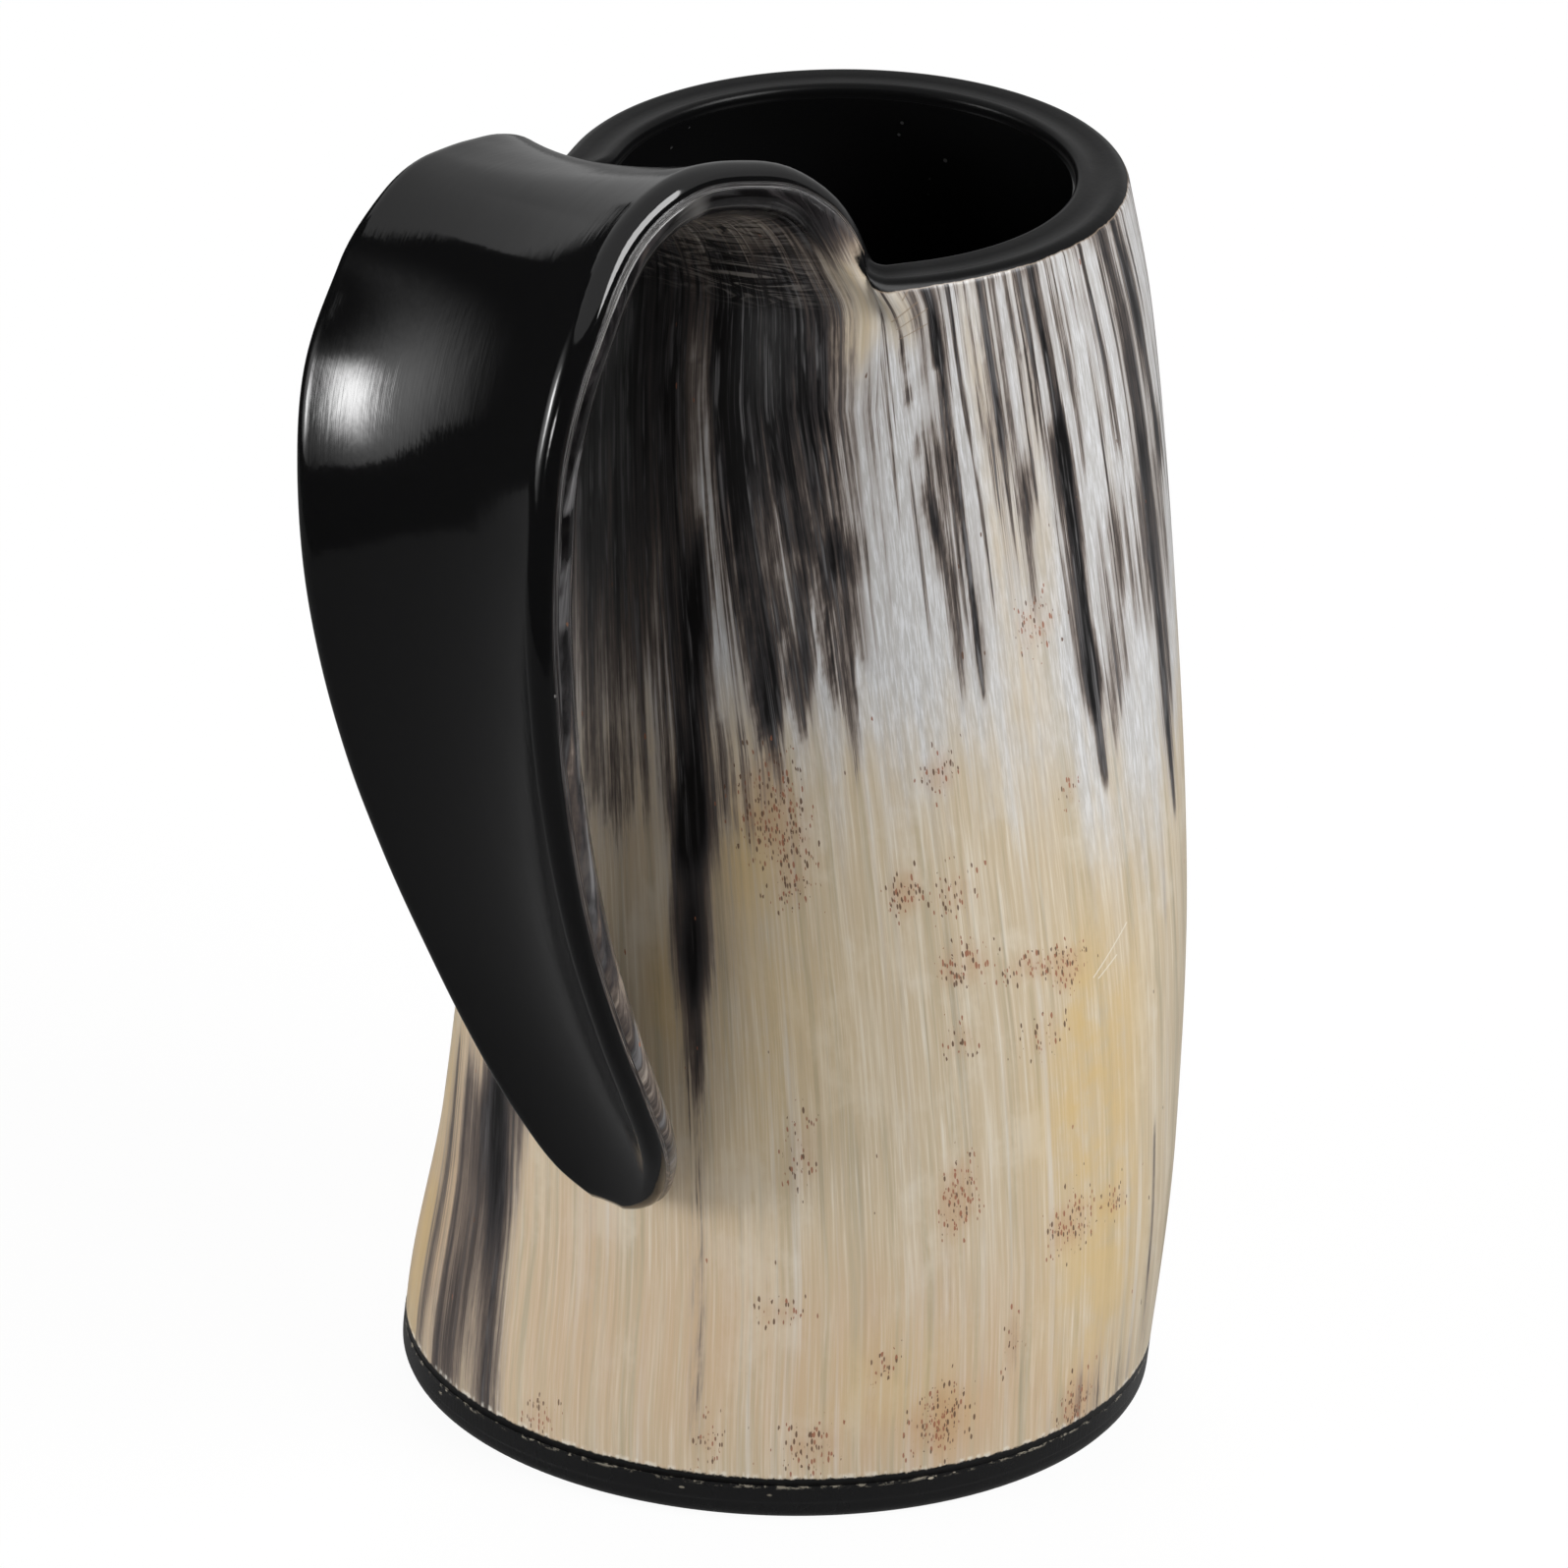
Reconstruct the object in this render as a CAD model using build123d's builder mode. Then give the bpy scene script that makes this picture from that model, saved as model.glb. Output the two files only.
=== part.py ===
from build123d import *
from math import asin, cos, radians, sin
import os

# Horn drinking mug. The foot stands on z = 0 with its centre at the origin, and the strap handle points along +X.

# Outside of the horn: an oval foot that narrows and leans to a round rim
rim_height = 150.0
foot_length = 88.2
foot_width = 79.8
rim_diameter = 63.2
rim_lean = 8.0
lean_bearing = 130.0
oval_bearing = 112.5

# Each row: share of the rim height, share of the change from foot to rim, share of the lean
horn_shares = (
    (0.00, 0.00, 0.00),
    (0.05, 0.00, 0.10),
    (0.21, 0.09, 0.52),
    (0.43, 0.21, 0.79),
    (0.70, 0.46, 0.89),
    (0.90, 0.73, 0.94),
    (1.00, 1.00, 1.00),
)

# Wall, rim edges and the coat inside
foot_wall = 5.0
rim_wall = 6.0
rim_outer_round = 1.3
rim_inner_round = 1.0
coat_thickness = 0.5
coat_drop = 1.5

# Base disc: a flange flush with the horn and a spigot that is glued into its bore
band_height = 4.8
band_round = 2.2
spigot_height = 5.0
glue_gap = 0.4

# Strap handle: sawn from the wall, turned out over the rim and down beside the body
strap_thickness = 5.6
root_thickness = 3.8
strap_width = 38.5
strap_hollow = 3.4
tip_thickness = 4.0
root_angle = 42.0
root_drop = 14.0
bend_drop = 6.0
crest_rise = 9.1
bend_run = 13.1
shoulder_run = 18.8
shoulder_drop = 42.6
tip_height = 41.0
tip_gap = 1.4
strap_sway = 6.5
strap_twist = 12.0

# Each row: share of the strap's length, share of the section that is still a slice of the wall,
# share of the width, share of the hollow, share of the sway, share of the twist
strap_shares = (
    (0.000, 1.00, 1.00, 1.00, 0.00, 0.00),
    (0.020, 1.00, 1.00, 1.00, 0.00, 0.00),
    (0.040, 1.00, 1.00, 1.00, 0.00, 0.00),
    (0.060, 0.99, 1.15, 0.70, 0.00, 0.02),
    (0.080, 0.88, 1.14, 0.76, -0.03, 0.05),
    (0.100, 0.60, 1.12, 0.80, -0.12, 0.12),
    (0.120, 0.34, 1.10, 0.68, -0.28, 0.30),
    (0.141, 0.16, 1.09, 0.54, -0.45, 0.55),
    (0.166, 0.05, 1.08, 0.42, -0.60, 0.82),
    (0.198, 0.00, 1.08, 0.38, -0.72, 1.05),
    (0.240, 0.00, 1.065, 0.44, -0.82, 1.15),
    (0.300, 0.00, 1.04, 0.60, -0.86, 1.04),
    (0.364, 0.00, 1.01, 0.84, -0.82, 0.80),
    (0.435, 0.00, 0.985, 0.96, -0.66, 0.68),
    (0.510, 0.00, 0.965, 1.03, -0.46, 0.68),
    (0.580, 0.00, 0.945, 1.06, -0.26, 0.74),
    (0.650, 0.00, 0.92, 1.05, -0.06, 0.82),
    (0.720, 0.00, 0.88, 0.98, 0.13, 0.88),
    (0.790, 0.00, 0.815, 0.84, 0.32, 0.84),
    (0.855, 0.00, 0.715, 0.66, 0.49, 0.66),
    (0.910, 0.00, 0.59, 0.46, 0.62, 0.42),
    (0.950, 0.00, 0.45, 0.28, 0.70, 0.22),
    (0.978, 0.00, 0.31, 0.15, 0.74, 0.10),
    (0.991, 0.00, 0.21, 0.08, 0.74, 0.05),
    (1.000, 0.00, 0.09, 0.02, 0.74, 0.00),
)
mouth_rows = slice(3, 12)

# Shares of each curve of the strap's centre line, from one end of the curve to where its handle points aim
bend_rise_share = 0.60
bend_crest_share = 0.78
grip_fall_share = 0.34
tail_rise_share = 0.39
tail_slope = 0.27


def horn_row(height):
    """Change share and lean share of the horn at a height, read between the rows of the table."""
    place = height / rim_height
    for low, high in zip(horn_shares, horn_shares[1:]):
        if place <= high[0]:
            way = (place - low[0]) / (high[0] - low[0])
            return low[1] + way * (high[1] - low[1]), low[2] + way * (high[2] - low[2])
    return horn_shares[-1][1:]


def horn_centre(lean_share):
    """Centre of the horn's oval, away from the foot's centre by a share of the lean."""
    reach = rim_lean * lean_share
    return reach * cos(radians(lean_bearing)), reach * sin(radians(lean_bearing))


def horn_form(foot_inset, rim_inset):
    """Solid horn whose ovals are set in from the outside by one amount at the foot and another at the rim."""
    with BuildPart() as form:
        for height_share, change, lean in horn_shares:
            across, along = horn_centre(lean)
            inset = foot_inset + (rim_inset - foot_inset) * height_share
            length = foot_length + (rim_diameter - foot_length) * change
            width = foot_width + (rim_diameter - foot_width) * change
            turned = (cos(radians(oval_bearing)), sin(radians(oval_bearing)), 0)
            with BuildSketch(Plane((across, along, rim_height * height_share), x_dir=turned, z_dir=(0, 0, 1))):
                Ellipse(length / 2 - inset, width / 2 - inset)
        loft()
    return form.part


def arc_radius(width, hollow):
    """Radius of the arc that is this wide and this deep."""
    return (width * width / 4 + hollow * hollow) / (2 * hollow)


def wall_middle(height):
    """Centre of the horn's oval and its mean radius at the middle of the wall, at a height."""
    change, lean = horn_row(height)
    outer = (foot_length + foot_width) / 4 * (1 - change) + rim_diameter / 2 * change
    return horn_centre(lean), outer - rim_wall / 2


def wall_point(height):
    """Point in the handle's upright plane at the middle of the wall, at a height."""
    centre, radius = wall_middle(height)
    return centre[0] + radius, height


# Centre line of the strap in the upright plane through the handle: slice of the wall, bend, shoulder and tail
root_point = wall_point(rim_height - root_drop)
bend_point = wall_point(rim_height - bend_drop)
rim_centre = horn_centre(1)
tip_change, tip_lean = horn_row(tip_height)
tip_outer = foot_width / 2 + (rim_diameter - foot_width) / 2 * tip_change
tip_point = (horn_centre(tip_lean)[0] + tip_outer + tip_gap + tip_thickness / 2, tip_height)
crest_point = (bend_point[0] + bend_run, rim_height + crest_rise)
grip_point = (crest_point[0] + shoulder_run, crest_point[1] - shoulder_drop)
bend_rise = (crest_point[1] - bend_point[1]) * bend_rise_share
wall_slope = (bend_point[0] - root_point[0]) / (bend_point[1] - root_point[1])
grip_fall = (grip_point[1] - tip_point[1]) * grip_fall_share
tail_rise = (grip_point[1] - tip_point[1]) * tail_rise_share
with BuildLine(Plane.XZ) as strap_line:
    Line(root_point, bend_point)
    Bezier(
        bend_point,
        (bend_point[0] + bend_rise * wall_slope, bend_point[1] + bend_rise),
        (crest_point[0] - bend_run * bend_crest_share, crest_point[1]),
        crest_point,
    )
    EllipticalCenterArc((crest_point[0], grip_point[1]), shoulder_run, shoulder_drop, 90, arc_size=-90)
    Bezier(
        grip_point,
        (grip_point[0], grip_point[1] - grip_fall),
        (tip_point[0] + tail_rise * tail_slope, tip_point[1] + tail_rise),
        tip_point,
    )
strap_path = strap_line.wire()


def strap_plane(row):
    """Plane across the strap: x from the far edge to the near edge, y out of the hollow, z along the strap."""
    along, sway, twist = row[0] * strap_path.length, row[4], row[5]
    middle = strap_path.position_at(along, PositionMode.LENGTH)
    heading = strap_path.tangent_at(along, PositionMode.LENGTH)
    hollow_side = heading.cross(Vector(0, 1, 0))
    turn = radians(strap_twist * twist)
    across = Vector(0, 1, 0) * cos(turn) + hollow_side * sin(turn)
    return Plane(middle + Vector(0, rim_centre[1] + strap_sway * sway, 0), x_dir=across, z_dir=heading)


def strap_sizes(row):
    """Width between the centres of the rounded edges, hollow and thickness of the strap at a row of the table."""
    along, sliced, width, hollow = row[:4]
    height = strap_path.position_at(along * strap_path.length, PositionMode.LENGTH).Z
    radius = wall_middle(min(height, rim_height))[1]
    slice_width = 2 * radius * sin(radians(root_angle))
    slice_hollow = radius * (1 - cos(radians(root_angle)))
    free_thickness = strap_thickness + (tip_thickness - strap_thickness) * along * along
    return (
        strap_width * width * (1 - sliced) + slice_width * sliced,
        strap_hollow * hollow * (1 - sliced) + slice_hollow * sliced,
        free_thickness * (1 - sliced) + root_thickness * sliced,
    )


def strap_section(row):
    """Outline of the strap: two arcs about one centre, joined by half-round edges."""
    width, hollow, thickness = strap_sizes(row)
    radius = arc_radius(width, hollow)
    lean = asin(width / 2 / radius)
    half = thickness / 2
    face = (width / 2 - half * sin(lean), hollow + half * cos(lean))
    back = (width / 2 + half * sin(lean), hollow - half * cos(lean))
    edge = (width / 2 + half * cos(lean), hollow + half * sin(lean))
    with BuildSketch(strap_plane(row)) as section:
        with BuildLine():
            ThreePointArc((-face[0], face[1]), (0, half), face)
            ThreePointArc(face, edge, back)
            ThreePointArc(back, (0, -half), (-back[0], back[1]))
            ThreePointArc((-back[0], back[1]), (-edge[0], edge[1]), (-face[0], face[1]))
        make_face()
    return section.sketch


def mouth_section(row):
    """Outline of the open space between the middle of the strap's thickness and a chord from edge to edge."""
    width, hollow = strap_sizes(row)[:2]
    with BuildSketch(strap_plane(row)) as section:
        with BuildLine():
            ThreePointArc((-width / 2, hollow), (0, 0), (width / 2, hollow))
            Line((width / 2, hollow), (-width / 2, hollow))
        make_face()
    return section.sketch


# Strap handle and the space that its turn opens in the wall
with BuildPart() as strap_form:
    for row in strap_shares:
        add(strap_section(row))
    loft()

with BuildPart() as mouth_form:
    for row in strap_shares[mouth_rows]:
        add(mouth_section(row))
    loft()

# Horn: the round wall with the strap handle in one piece
with BuildPart() as horn_cup:
    add(horn_form(0, 0))
    split(bisect_by=Plane.XY.offset(band_height), keep=Keep.TOP)
    add(horn_form(foot_wall, rim_wall), mode=Mode.SUBTRACT)
    rim_edges = horn_cup.edges().group_by(Axis.Z)[-1].sort_by(SortBy.LENGTH)
    fillet(rim_edges[-1], rim_outer_round)
    fillet(horn_cup.edges().group_by(Axis.Z)[-1].sort_by(SortBy.LENGTH)[0], rim_inner_round)
    add(mouth_form.part, mode=Mode.SUBTRACT)
    add(strap_form.part)

# Base disc: flange below the horn and spigot up inside it
floor_height = band_height + spigot_height
with BuildPart() as spigot_form:
    add(horn_form(foot_wall + glue_gap, rim_wall + glue_gap))
    split(bisect_by=Plane.XY.offset(band_height), keep=Keep.TOP)
    split(bisect_by=Plane.XY.offset(floor_height), keep=Keep.BOTTOM)

with BuildPart() as base_disc:
    add(horn_form(0, 0))
    split(bisect_by=Plane.XY.offset(band_height), keep=Keep.BOTTOM)
    fillet(base_disc.edges().group_by(Axis.Z)[0], band_round)
    add(spigot_form.part)

# Adhesive between the spigot and the bore
with BuildPart() as glue_ring:
    add(horn_form(foot_wall, rim_wall))
    split(bisect_by=Plane.XY.offset(band_height), keep=Keep.TOP)
    split(bisect_by=Plane.XY.offset(floor_height), keep=Keep.BOTTOM)
    add(spigot_form.part, mode=Mode.SUBTRACT)

# Coat on the inside wall and the floor, open where the handle turns out of the wall
with BuildPart() as inside_form:
    add(horn_form(foot_wall + coat_thickness, rim_wall + coat_thickness))
    split(bisect_by=Plane.XY.offset(floor_height + coat_thickness), keep=Keep.TOP)

with BuildPart() as inner_lining:
    add(horn_form(foot_wall, rim_wall))
    split(bisect_by=Plane.XY.offset(floor_height), keep=Keep.TOP)
    split(bisect_by=Plane.XY.offset(rim_height - coat_drop), keep=Keep.BOTTOM)
    add(inside_form.part, mode=Mode.SUBTRACT)
    add(mouth_form.part, mode=Mode.SUBTRACT)

horn_cup.part.label = "horn_cup"
base_disc.part.label = "base_disc"
glue_ring.part.label = "glue_ring"
inner_lining.part.label = "inner_lining"

os.makedirs("parts", exist_ok=True)
export_step(horn_cup.part, "parts/horn_cup.step")
export_step(base_disc.part, "parts/base_disc.step")
export_step(glue_ring.part, "parts/glue_ring.step")
export_step(inner_lining.part, "parts/inner_lining.step")
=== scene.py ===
"""Looks of a polished horn drinking mug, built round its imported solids.

The horn is one smooth skin: the wall, the rim and the strap handle that is turned out of the wall. The base disc,
the glue and the black coat inside keep the solids' own meshes. Lengths in the classes are millimetres.
"""

import logging
import math
from dataclasses import dataclass, field
from enum import Enum
from functools import cached_property

import bmesh
import bpy
import numpy as np
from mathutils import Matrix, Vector

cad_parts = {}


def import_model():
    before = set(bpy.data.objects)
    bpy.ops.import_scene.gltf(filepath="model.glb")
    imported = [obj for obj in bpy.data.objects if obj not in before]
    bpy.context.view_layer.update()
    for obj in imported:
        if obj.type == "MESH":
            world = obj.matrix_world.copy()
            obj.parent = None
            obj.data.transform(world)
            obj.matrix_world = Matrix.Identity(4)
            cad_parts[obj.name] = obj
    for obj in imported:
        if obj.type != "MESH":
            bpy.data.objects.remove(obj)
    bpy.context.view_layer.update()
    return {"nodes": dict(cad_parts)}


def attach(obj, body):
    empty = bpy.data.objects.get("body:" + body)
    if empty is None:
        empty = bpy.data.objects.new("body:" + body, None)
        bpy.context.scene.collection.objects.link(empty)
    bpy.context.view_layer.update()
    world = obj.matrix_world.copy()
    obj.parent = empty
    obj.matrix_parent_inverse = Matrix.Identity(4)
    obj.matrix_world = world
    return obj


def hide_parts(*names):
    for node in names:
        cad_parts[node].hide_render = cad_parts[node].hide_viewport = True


log = logging.getLogger("horn_mug")
MM = 0.001
WHITE = (1.0, 1.0, 1.0, 1.0)
Array = np.ndarray
Colour = tuple[float, float, float]


class Side(Enum):
    """The two faces of the horn's sheet."""

    OUTER = 1.0
    INNER = -1.0


class Mask(Enum):
    """Names of the values that the horn's skin carries at each point for its finish."""

    FIBRE = "fibre"
    PLACE = "place"
    # Dark field: the horn's own dark colour, with a little painted shade
    PIGMENT = "pigment"
    # Pale field: the horn's pale top, partly a painted reflection on the right side
    PALE = "pale"
    AMBER = "amber"
    ROSY = "rosy"
    COAT = "coat"
    FLECK = "fleck"
    RAGGED = "ragged"
    LAYER = "layer"
    STRANDS = "strands"
    WORN = "worn"
    CREASE = "crease"
    STRAP = "strap"


def smooth_step(low: float, high: float, value: Array) -> Array:
    """Rises smoothly from 0 at low to 1 at high: 3t^2 - 2t^3 of the way between them."""
    way = np.clip((value - low) / (high - low), 0.0, 1.0)
    return way * way * (3.0 - 2.0 * way)


def unit(vectors: Array) -> Array:
    """Vectors along the last axis, each divided by its length."""
    return vectors / np.linalg.norm(vectors, axis=-1, keepdims=True)


def grid_faces(rows: int, columns: int) -> Array:
    """Four-sided faces of a grid whose points are numbered row by row."""
    number = np.arange(rows * columns).reshape(rows, columns)
    return np.stack([number[:-1, :-1], number[:-1, 1:], number[1:, 1:], number[1:, :-1]], -1).reshape(-1, 4)


class SmoothTable:
    """Smooth curve through rows of a table that never swings past them (a monotone cubic)."""

    def __init__(self, stations: Array, values: Array) -> None:
        """Works out the slope at each row: the harmonic mean of the slopes beside it, or 0 at a turn."""
        self.stations = np.asarray(stations, float)
        self.values = np.asarray(values, float)
        steps = np.diff(self.stations)
        rises = np.diff(self.values) / steps
        slopes = np.zeros_like(self.values)
        low, high = rises[:-1], rises[1:]
        same = low * high > 0
        before, after = 2 * steps[1:] + steps[:-1], steps[1:] + 2 * steps[:-1]
        safe_low, safe_high = np.where(same, low, 1.0), np.where(same, high, 1.0)
        slopes[1:-1] = np.where(same, (before + after) / (before / safe_low + after / safe_high), 0.0)
        slopes[0], slopes[-1] = rises[0], rises[-1]
        self.slopes = slopes

    def __call__(self, at: Array) -> Array:
        """Value of the curve at each station asked, held at the ends."""
        at = np.clip(np.asarray(at, float), self.stations[0], self.stations[-1])
        row = np.clip(np.searchsorted(self.stations, at, side="right") - 1, 0, len(self.stations) - 2)
        step = self.stations[row + 1] - self.stations[row]
        t = (at - self.stations[row]) / step
        return (
            (2 * t**3 - 3 * t**2 + 1) * self.values[row]
            + (t**3 - 2 * t**2 + t) * step * self.slopes[row]
            + (3 * t**2 - 2 * t**3) * self.values[row + 1]
            + (t**3 - t**2) * step * self.slopes[row + 1]
        )


@dataclass(frozen=True)
class HornWall:
    """Round wall of the horn: an oval foot that narrows and leans to a round rim."""

    rim_height: float = 150.0
    foot_length: float = 88.2
    foot_width: float = 79.8
    rim_diameter: float = 63.2
    rim_lean: float = 8.0
    lean_bearing: float = 130.0
    oval_bearing: float = 112.5
    band_height: float = 4.8
    foot_wall: float = 5.0
    rim_wall: float = 6.0
    rim_outer_round: float = 1.3
    rim_inner_round: float = 1.0
    heights: tuple[float, ...] = (0.00, 0.05, 0.21, 0.43, 0.70, 0.90, 1.00)
    changes: tuple[float, ...] = (0.00, 0.00, 0.09, 0.21, 0.46, 0.73, 1.00)
    leans: tuple[float, ...] = (0.00, 0.10, 0.52, 0.79, 0.89, 0.94, 1.00)

    def centre(self, lean: Array) -> tuple[Array, Array]:
        """Centre of the oval at a share of the lean."""
        turn = math.radians(self.lean_bearing)
        return self.rim_lean * lean * math.cos(turn), self.rim_lean * lean * math.sin(turn)

    def point(self, bearing: Array, height: Array, inset: float) -> Array:
        """Point of the oval at a bearing and a height.

        The oval's radius at an angle t from its long axis is ab / sqrt((b cos t)^2 + (a sin t)^2).

        Args:
            bearing: Angle from the handle, in radians.
            height: Height above the foot; past the rim the wall goes on straight up.
            inset: 0 for the outside and 1 for the bore.

        Returns:
            Points with x, y and z along the last axis.
        """
        share = np.minimum(height / self.rim_height, 1.0)
        change, lean = SmoothTable(self.heights, self.changes)(share), SmoothTable(self.heights, self.leans)(share)
        wall = (self.foot_wall + (self.rim_wall - self.foot_wall) * share) * inset
        half_length = self.foot_length / 2 + (self.rim_diameter - self.foot_length) / 2 * change - wall
        half_width = self.foot_width / 2 + (self.rim_diameter - self.foot_width) / 2 * change - wall
        turn = bearing - math.radians(self.oval_bearing)
        radius = half_length * half_width / np.hypot(half_width * np.cos(turn), half_length * np.sin(turn))
        across, along = self.centre(lean)
        return np.stack([across + radius * np.cos(bearing), along + radius * np.sin(bearing), height + 0 * bearing], -1)

    def sheet(self, bearing: Array, height: Array) -> tuple[Array, Array, Array]:
        """Middle of the wall, the direction out through it and half its thickness."""
        outside, bore = self.point(bearing, height, 0.0), self.point(bearing, height, 1.0)
        return (outside + bore) / 2, unit(outside - bore), np.linalg.norm(outside - bore, axis=-1) / 2

    def middle(self, height: Array) -> tuple[Array, Array, Array]:
        """Centre of the oval and its mean radius at the middle of the wall."""
        share = np.minimum(np.asarray(height, float) / self.rim_height, 1.0)
        change, lean = np.interp(share, self.heights, self.changes), np.interp(share, self.heights, self.leans)
        across, along = self.centre(lean)
        foot_radius = (self.foot_length + self.foot_width) / 4
        return across, along, foot_radius * (1 - change) + self.rim_diameter / 2 * change - self.rim_wall / 2


@dataclass(frozen=True)
class StrapHandle:
    """Strap handle: a slice of the wall turned out over the rim and down beside the body."""

    wall: HornWall = HornWall()
    thickness: float = 5.6
    width: float = 38.5
    hollow: float = 3.4
    tip_thickness: float = 4.0
    root_angle: float = 42.0
    root_drop: float = 14.0
    bend_drop: float = 6.0
    crest_rise: float = 8.95
    bend_run: float = 11.65
    shoulder_run: float = 19.9
    shoulder_drop: float = 41.8
    tip_height: float = 40.2
    tip_gap: float = 1.4
    sway: float = 6.5
    twist: float = 12.0
    bend_rise_share: float = 0.76
    bend_crest_share: float = 0.86
    grip_fall_share: float = 0.34
    tail_rise_share: float = 0.39
    tail_slope: float = 0.27
    samples: int = 600
    # Share of the strap's length, share still a slice of the wall, shares of width, hollow, sway and twist
    rows: tuple[tuple[float, ...], ...] = (
        (0.000, 1.00, 1.00, 1.00, 0.00, 0.00),
        (0.040, 1.00, 1.00, 1.00, 0.00, 0.00),
        (0.060, 0.97, 1.10, 0.80, 0.00, 0.03),
        (0.080, 0.76, 1.14, 0.66, -0.03, 0.10),
        (0.100, 0.42, 1.12, 0.60, -0.12, 0.28),
        (0.120, 0.18, 1.075, 0.56, -0.25, 0.52),
        (0.141, 0.06, 0.99, 0.51, -0.40, 0.77),
        (0.166, 0.00, 0.96, 0.47, -0.55, 0.91),
        (0.198, 0.00, 0.957, 0.49, -0.67, 1.04),
        (0.240, 0.00, 0.967, 0.55, -0.77, 1.095),
        (0.300, 0.00, 1.03, 0.62, -0.81, 1.10),
        (0.364, 0.00, 1.005, 0.84, -0.82, 0.85),
        (0.435, 0.00, 0.98, 0.96, -0.66, 0.68),
        (0.510, 0.00, 0.965, 1.03, -0.46, 0.68),
        (0.580, 0.00, 0.945, 1.06, -0.26, 0.74),
        (0.650, 0.00, 0.92, 1.05, -0.06, 0.82),
        (0.720, 0.00, 0.88, 0.98, 0.13, 0.88),
        (0.790, 0.00, 0.815, 0.84, 0.32, 0.84),
        (0.855, 0.00, 0.715, 0.66, 0.49, 0.66),
        (0.910, 0.00, 0.59, 0.46, 0.62, 0.42),
        (0.950, 0.00, 0.44, 0.28, 0.66, 0.22),
        (0.978, 0.00, 0.29, 0.15, 0.66, 0.10),
        (0.991, 0.00, 0.165, 0.06, 0.65, 0.05),
        (0.997, 0.00, 0.080, 0.02, 0.64, 0.02),
        (1.000, 0.00, 0.030, 0.01, 0.64, 0.00),
    )

    def line(self) -> tuple[Array, Array]:
        """Centre line in the handle's upright plane: the wall, two curves of third degree and a quarter of an ellipse.

        Returns:
            Points with x and z along the last axis, and the length of the line up to each.
        """
        wall = self.wall
        root_x, bend_x = (
            float(wall.middle(h)[0] + wall.middle(h)[2])
            for h in (wall.rim_height - self.root_drop, wall.rim_height - self.bend_drop)
        )
        root = np.array([root_x, wall.rim_height - self.root_drop])
        bend = np.array([bend_x, wall.rim_height - self.bend_drop])
        share = self.tip_height / wall.rim_height
        change, lean = np.interp(share, wall.heights, wall.changes), np.interp(share, wall.heights, wall.leans)
        beside = wall.foot_width / 2 + (wall.rim_diameter - wall.foot_width) / 2 * change
        tip = np.array([wall.centre(lean)[0] + beside + self.tip_gap + self.tip_thickness / 2, self.tip_height])
        crest = np.array([bend[0] + self.bend_run, wall.rim_height + self.crest_rise])
        grip = crest + np.array([self.shoulder_run, -self.shoulder_drop])
        rise = (crest[1] - bend[1]) * self.bend_rise_share
        slope = (bend[0] - root[0]) / (bend[1] - root[1])
        fall, lift = (grip[1] - tip[1]) * self.grip_fall_share, (grip[1] - tip[1]) * self.tail_rise_share
        t = np.linspace(0, 1, self.samples)[:, None]

        def curve(a: Array, b: Array, c: Array, d: Array) -> Array:
            """Curve of third degree from a to d, aimed by b and c."""
            return a * (1 - t) ** 3 + 3 * b * (1 - t) ** 2 * t + 3 * c * (1 - t) * t**2 + d * t**3

        before_crest = crest - [self.bend_run * self.bend_crest_share, 0]
        turn = curve(bend, bend + rise * np.array([slope, 1.0]), before_crest, crest)
        angle = (math.pi / 2) * (1 - t)
        middle = np.array([crest[0], grip[1]])
        shoulder = middle + np.hstack([self.shoulder_run * np.cos(angle), self.shoulder_drop * np.sin(angle)])
        tail = curve(grip, grip - [0, fall], tip + [lift * self.tail_slope, lift], tip)
        points = np.vstack([root + (bend - root) * t, turn[1:], shoulder[1:], tail[1:]])
        lengths = np.concatenate([[0.0], np.cumsum(np.linalg.norm(np.diff(points, axis=0), axis=1))])
        return points, lengths

    def sizes(self, along: Array, height: Array) -> tuple[Array, Array, Array]:
        """Width between the centres of the rounded edges, hollow and thickness of the strap.

        Args:
            along: Share of the strap's length.
            height: Height of the centre line there.

        Returns:
            Width, hollow and thickness.
        """
        table = np.array(self.rows)
        sliced, width, hollow = (SmoothTable(table[:, 0], table[:, k])(along) for k in (1, 2, 3))
        radius = self.wall.middle(np.minimum(height, self.wall.rim_height))[2]
        angle = math.radians(self.root_angle)
        free = self.thickness + (self.tip_thickness - self.thickness) * along * along
        return (
            self.width * width * (1 - sliced) + 2 * radius * math.sin(angle) * sliced,
            self.hollow * hollow * (1 - sliced) + radius * (1 - math.cos(angle)) * sliced,
            free,
        )


@dataclass(frozen=True)
class Streak:
    """Streak along the horn's fibres: points of its middle line from the top down, half its width and its strength.

    Bearings are in degrees from the handle, heights in millimetres.
    """

    path: tuple[tuple[float, float], ...]
    half: float
    strength: float
    fade: float = 4.0

    def field(self, bearing: Array, height: Array) -> Array:
        """Bell curve in a wider haze across the line, faded in and out at its two ends."""
        line = np.array(self.path[::-1])
        away = (bearing - np.interp(height, line[:, 1], line[:, 0]) + 180.0) % 360.0 - 180.0
        reach = smooth_step(line[0, 1] - self.fade, line[0, 1] + self.fade, height)
        if line[-1, 1] < 149.0:
            reach = reach * (1.0 - smooth_step(line[-1, 1] - self.fade, line[-1, 1] + self.fade, height))
        core, haze = np.exp(-((away / self.half) ** 2) / 1.4), np.exp(-((away / (2.6 * self.half)) ** 2))
        return self.strength * (0.80 * core + 0.20 * haze) * reach


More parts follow.
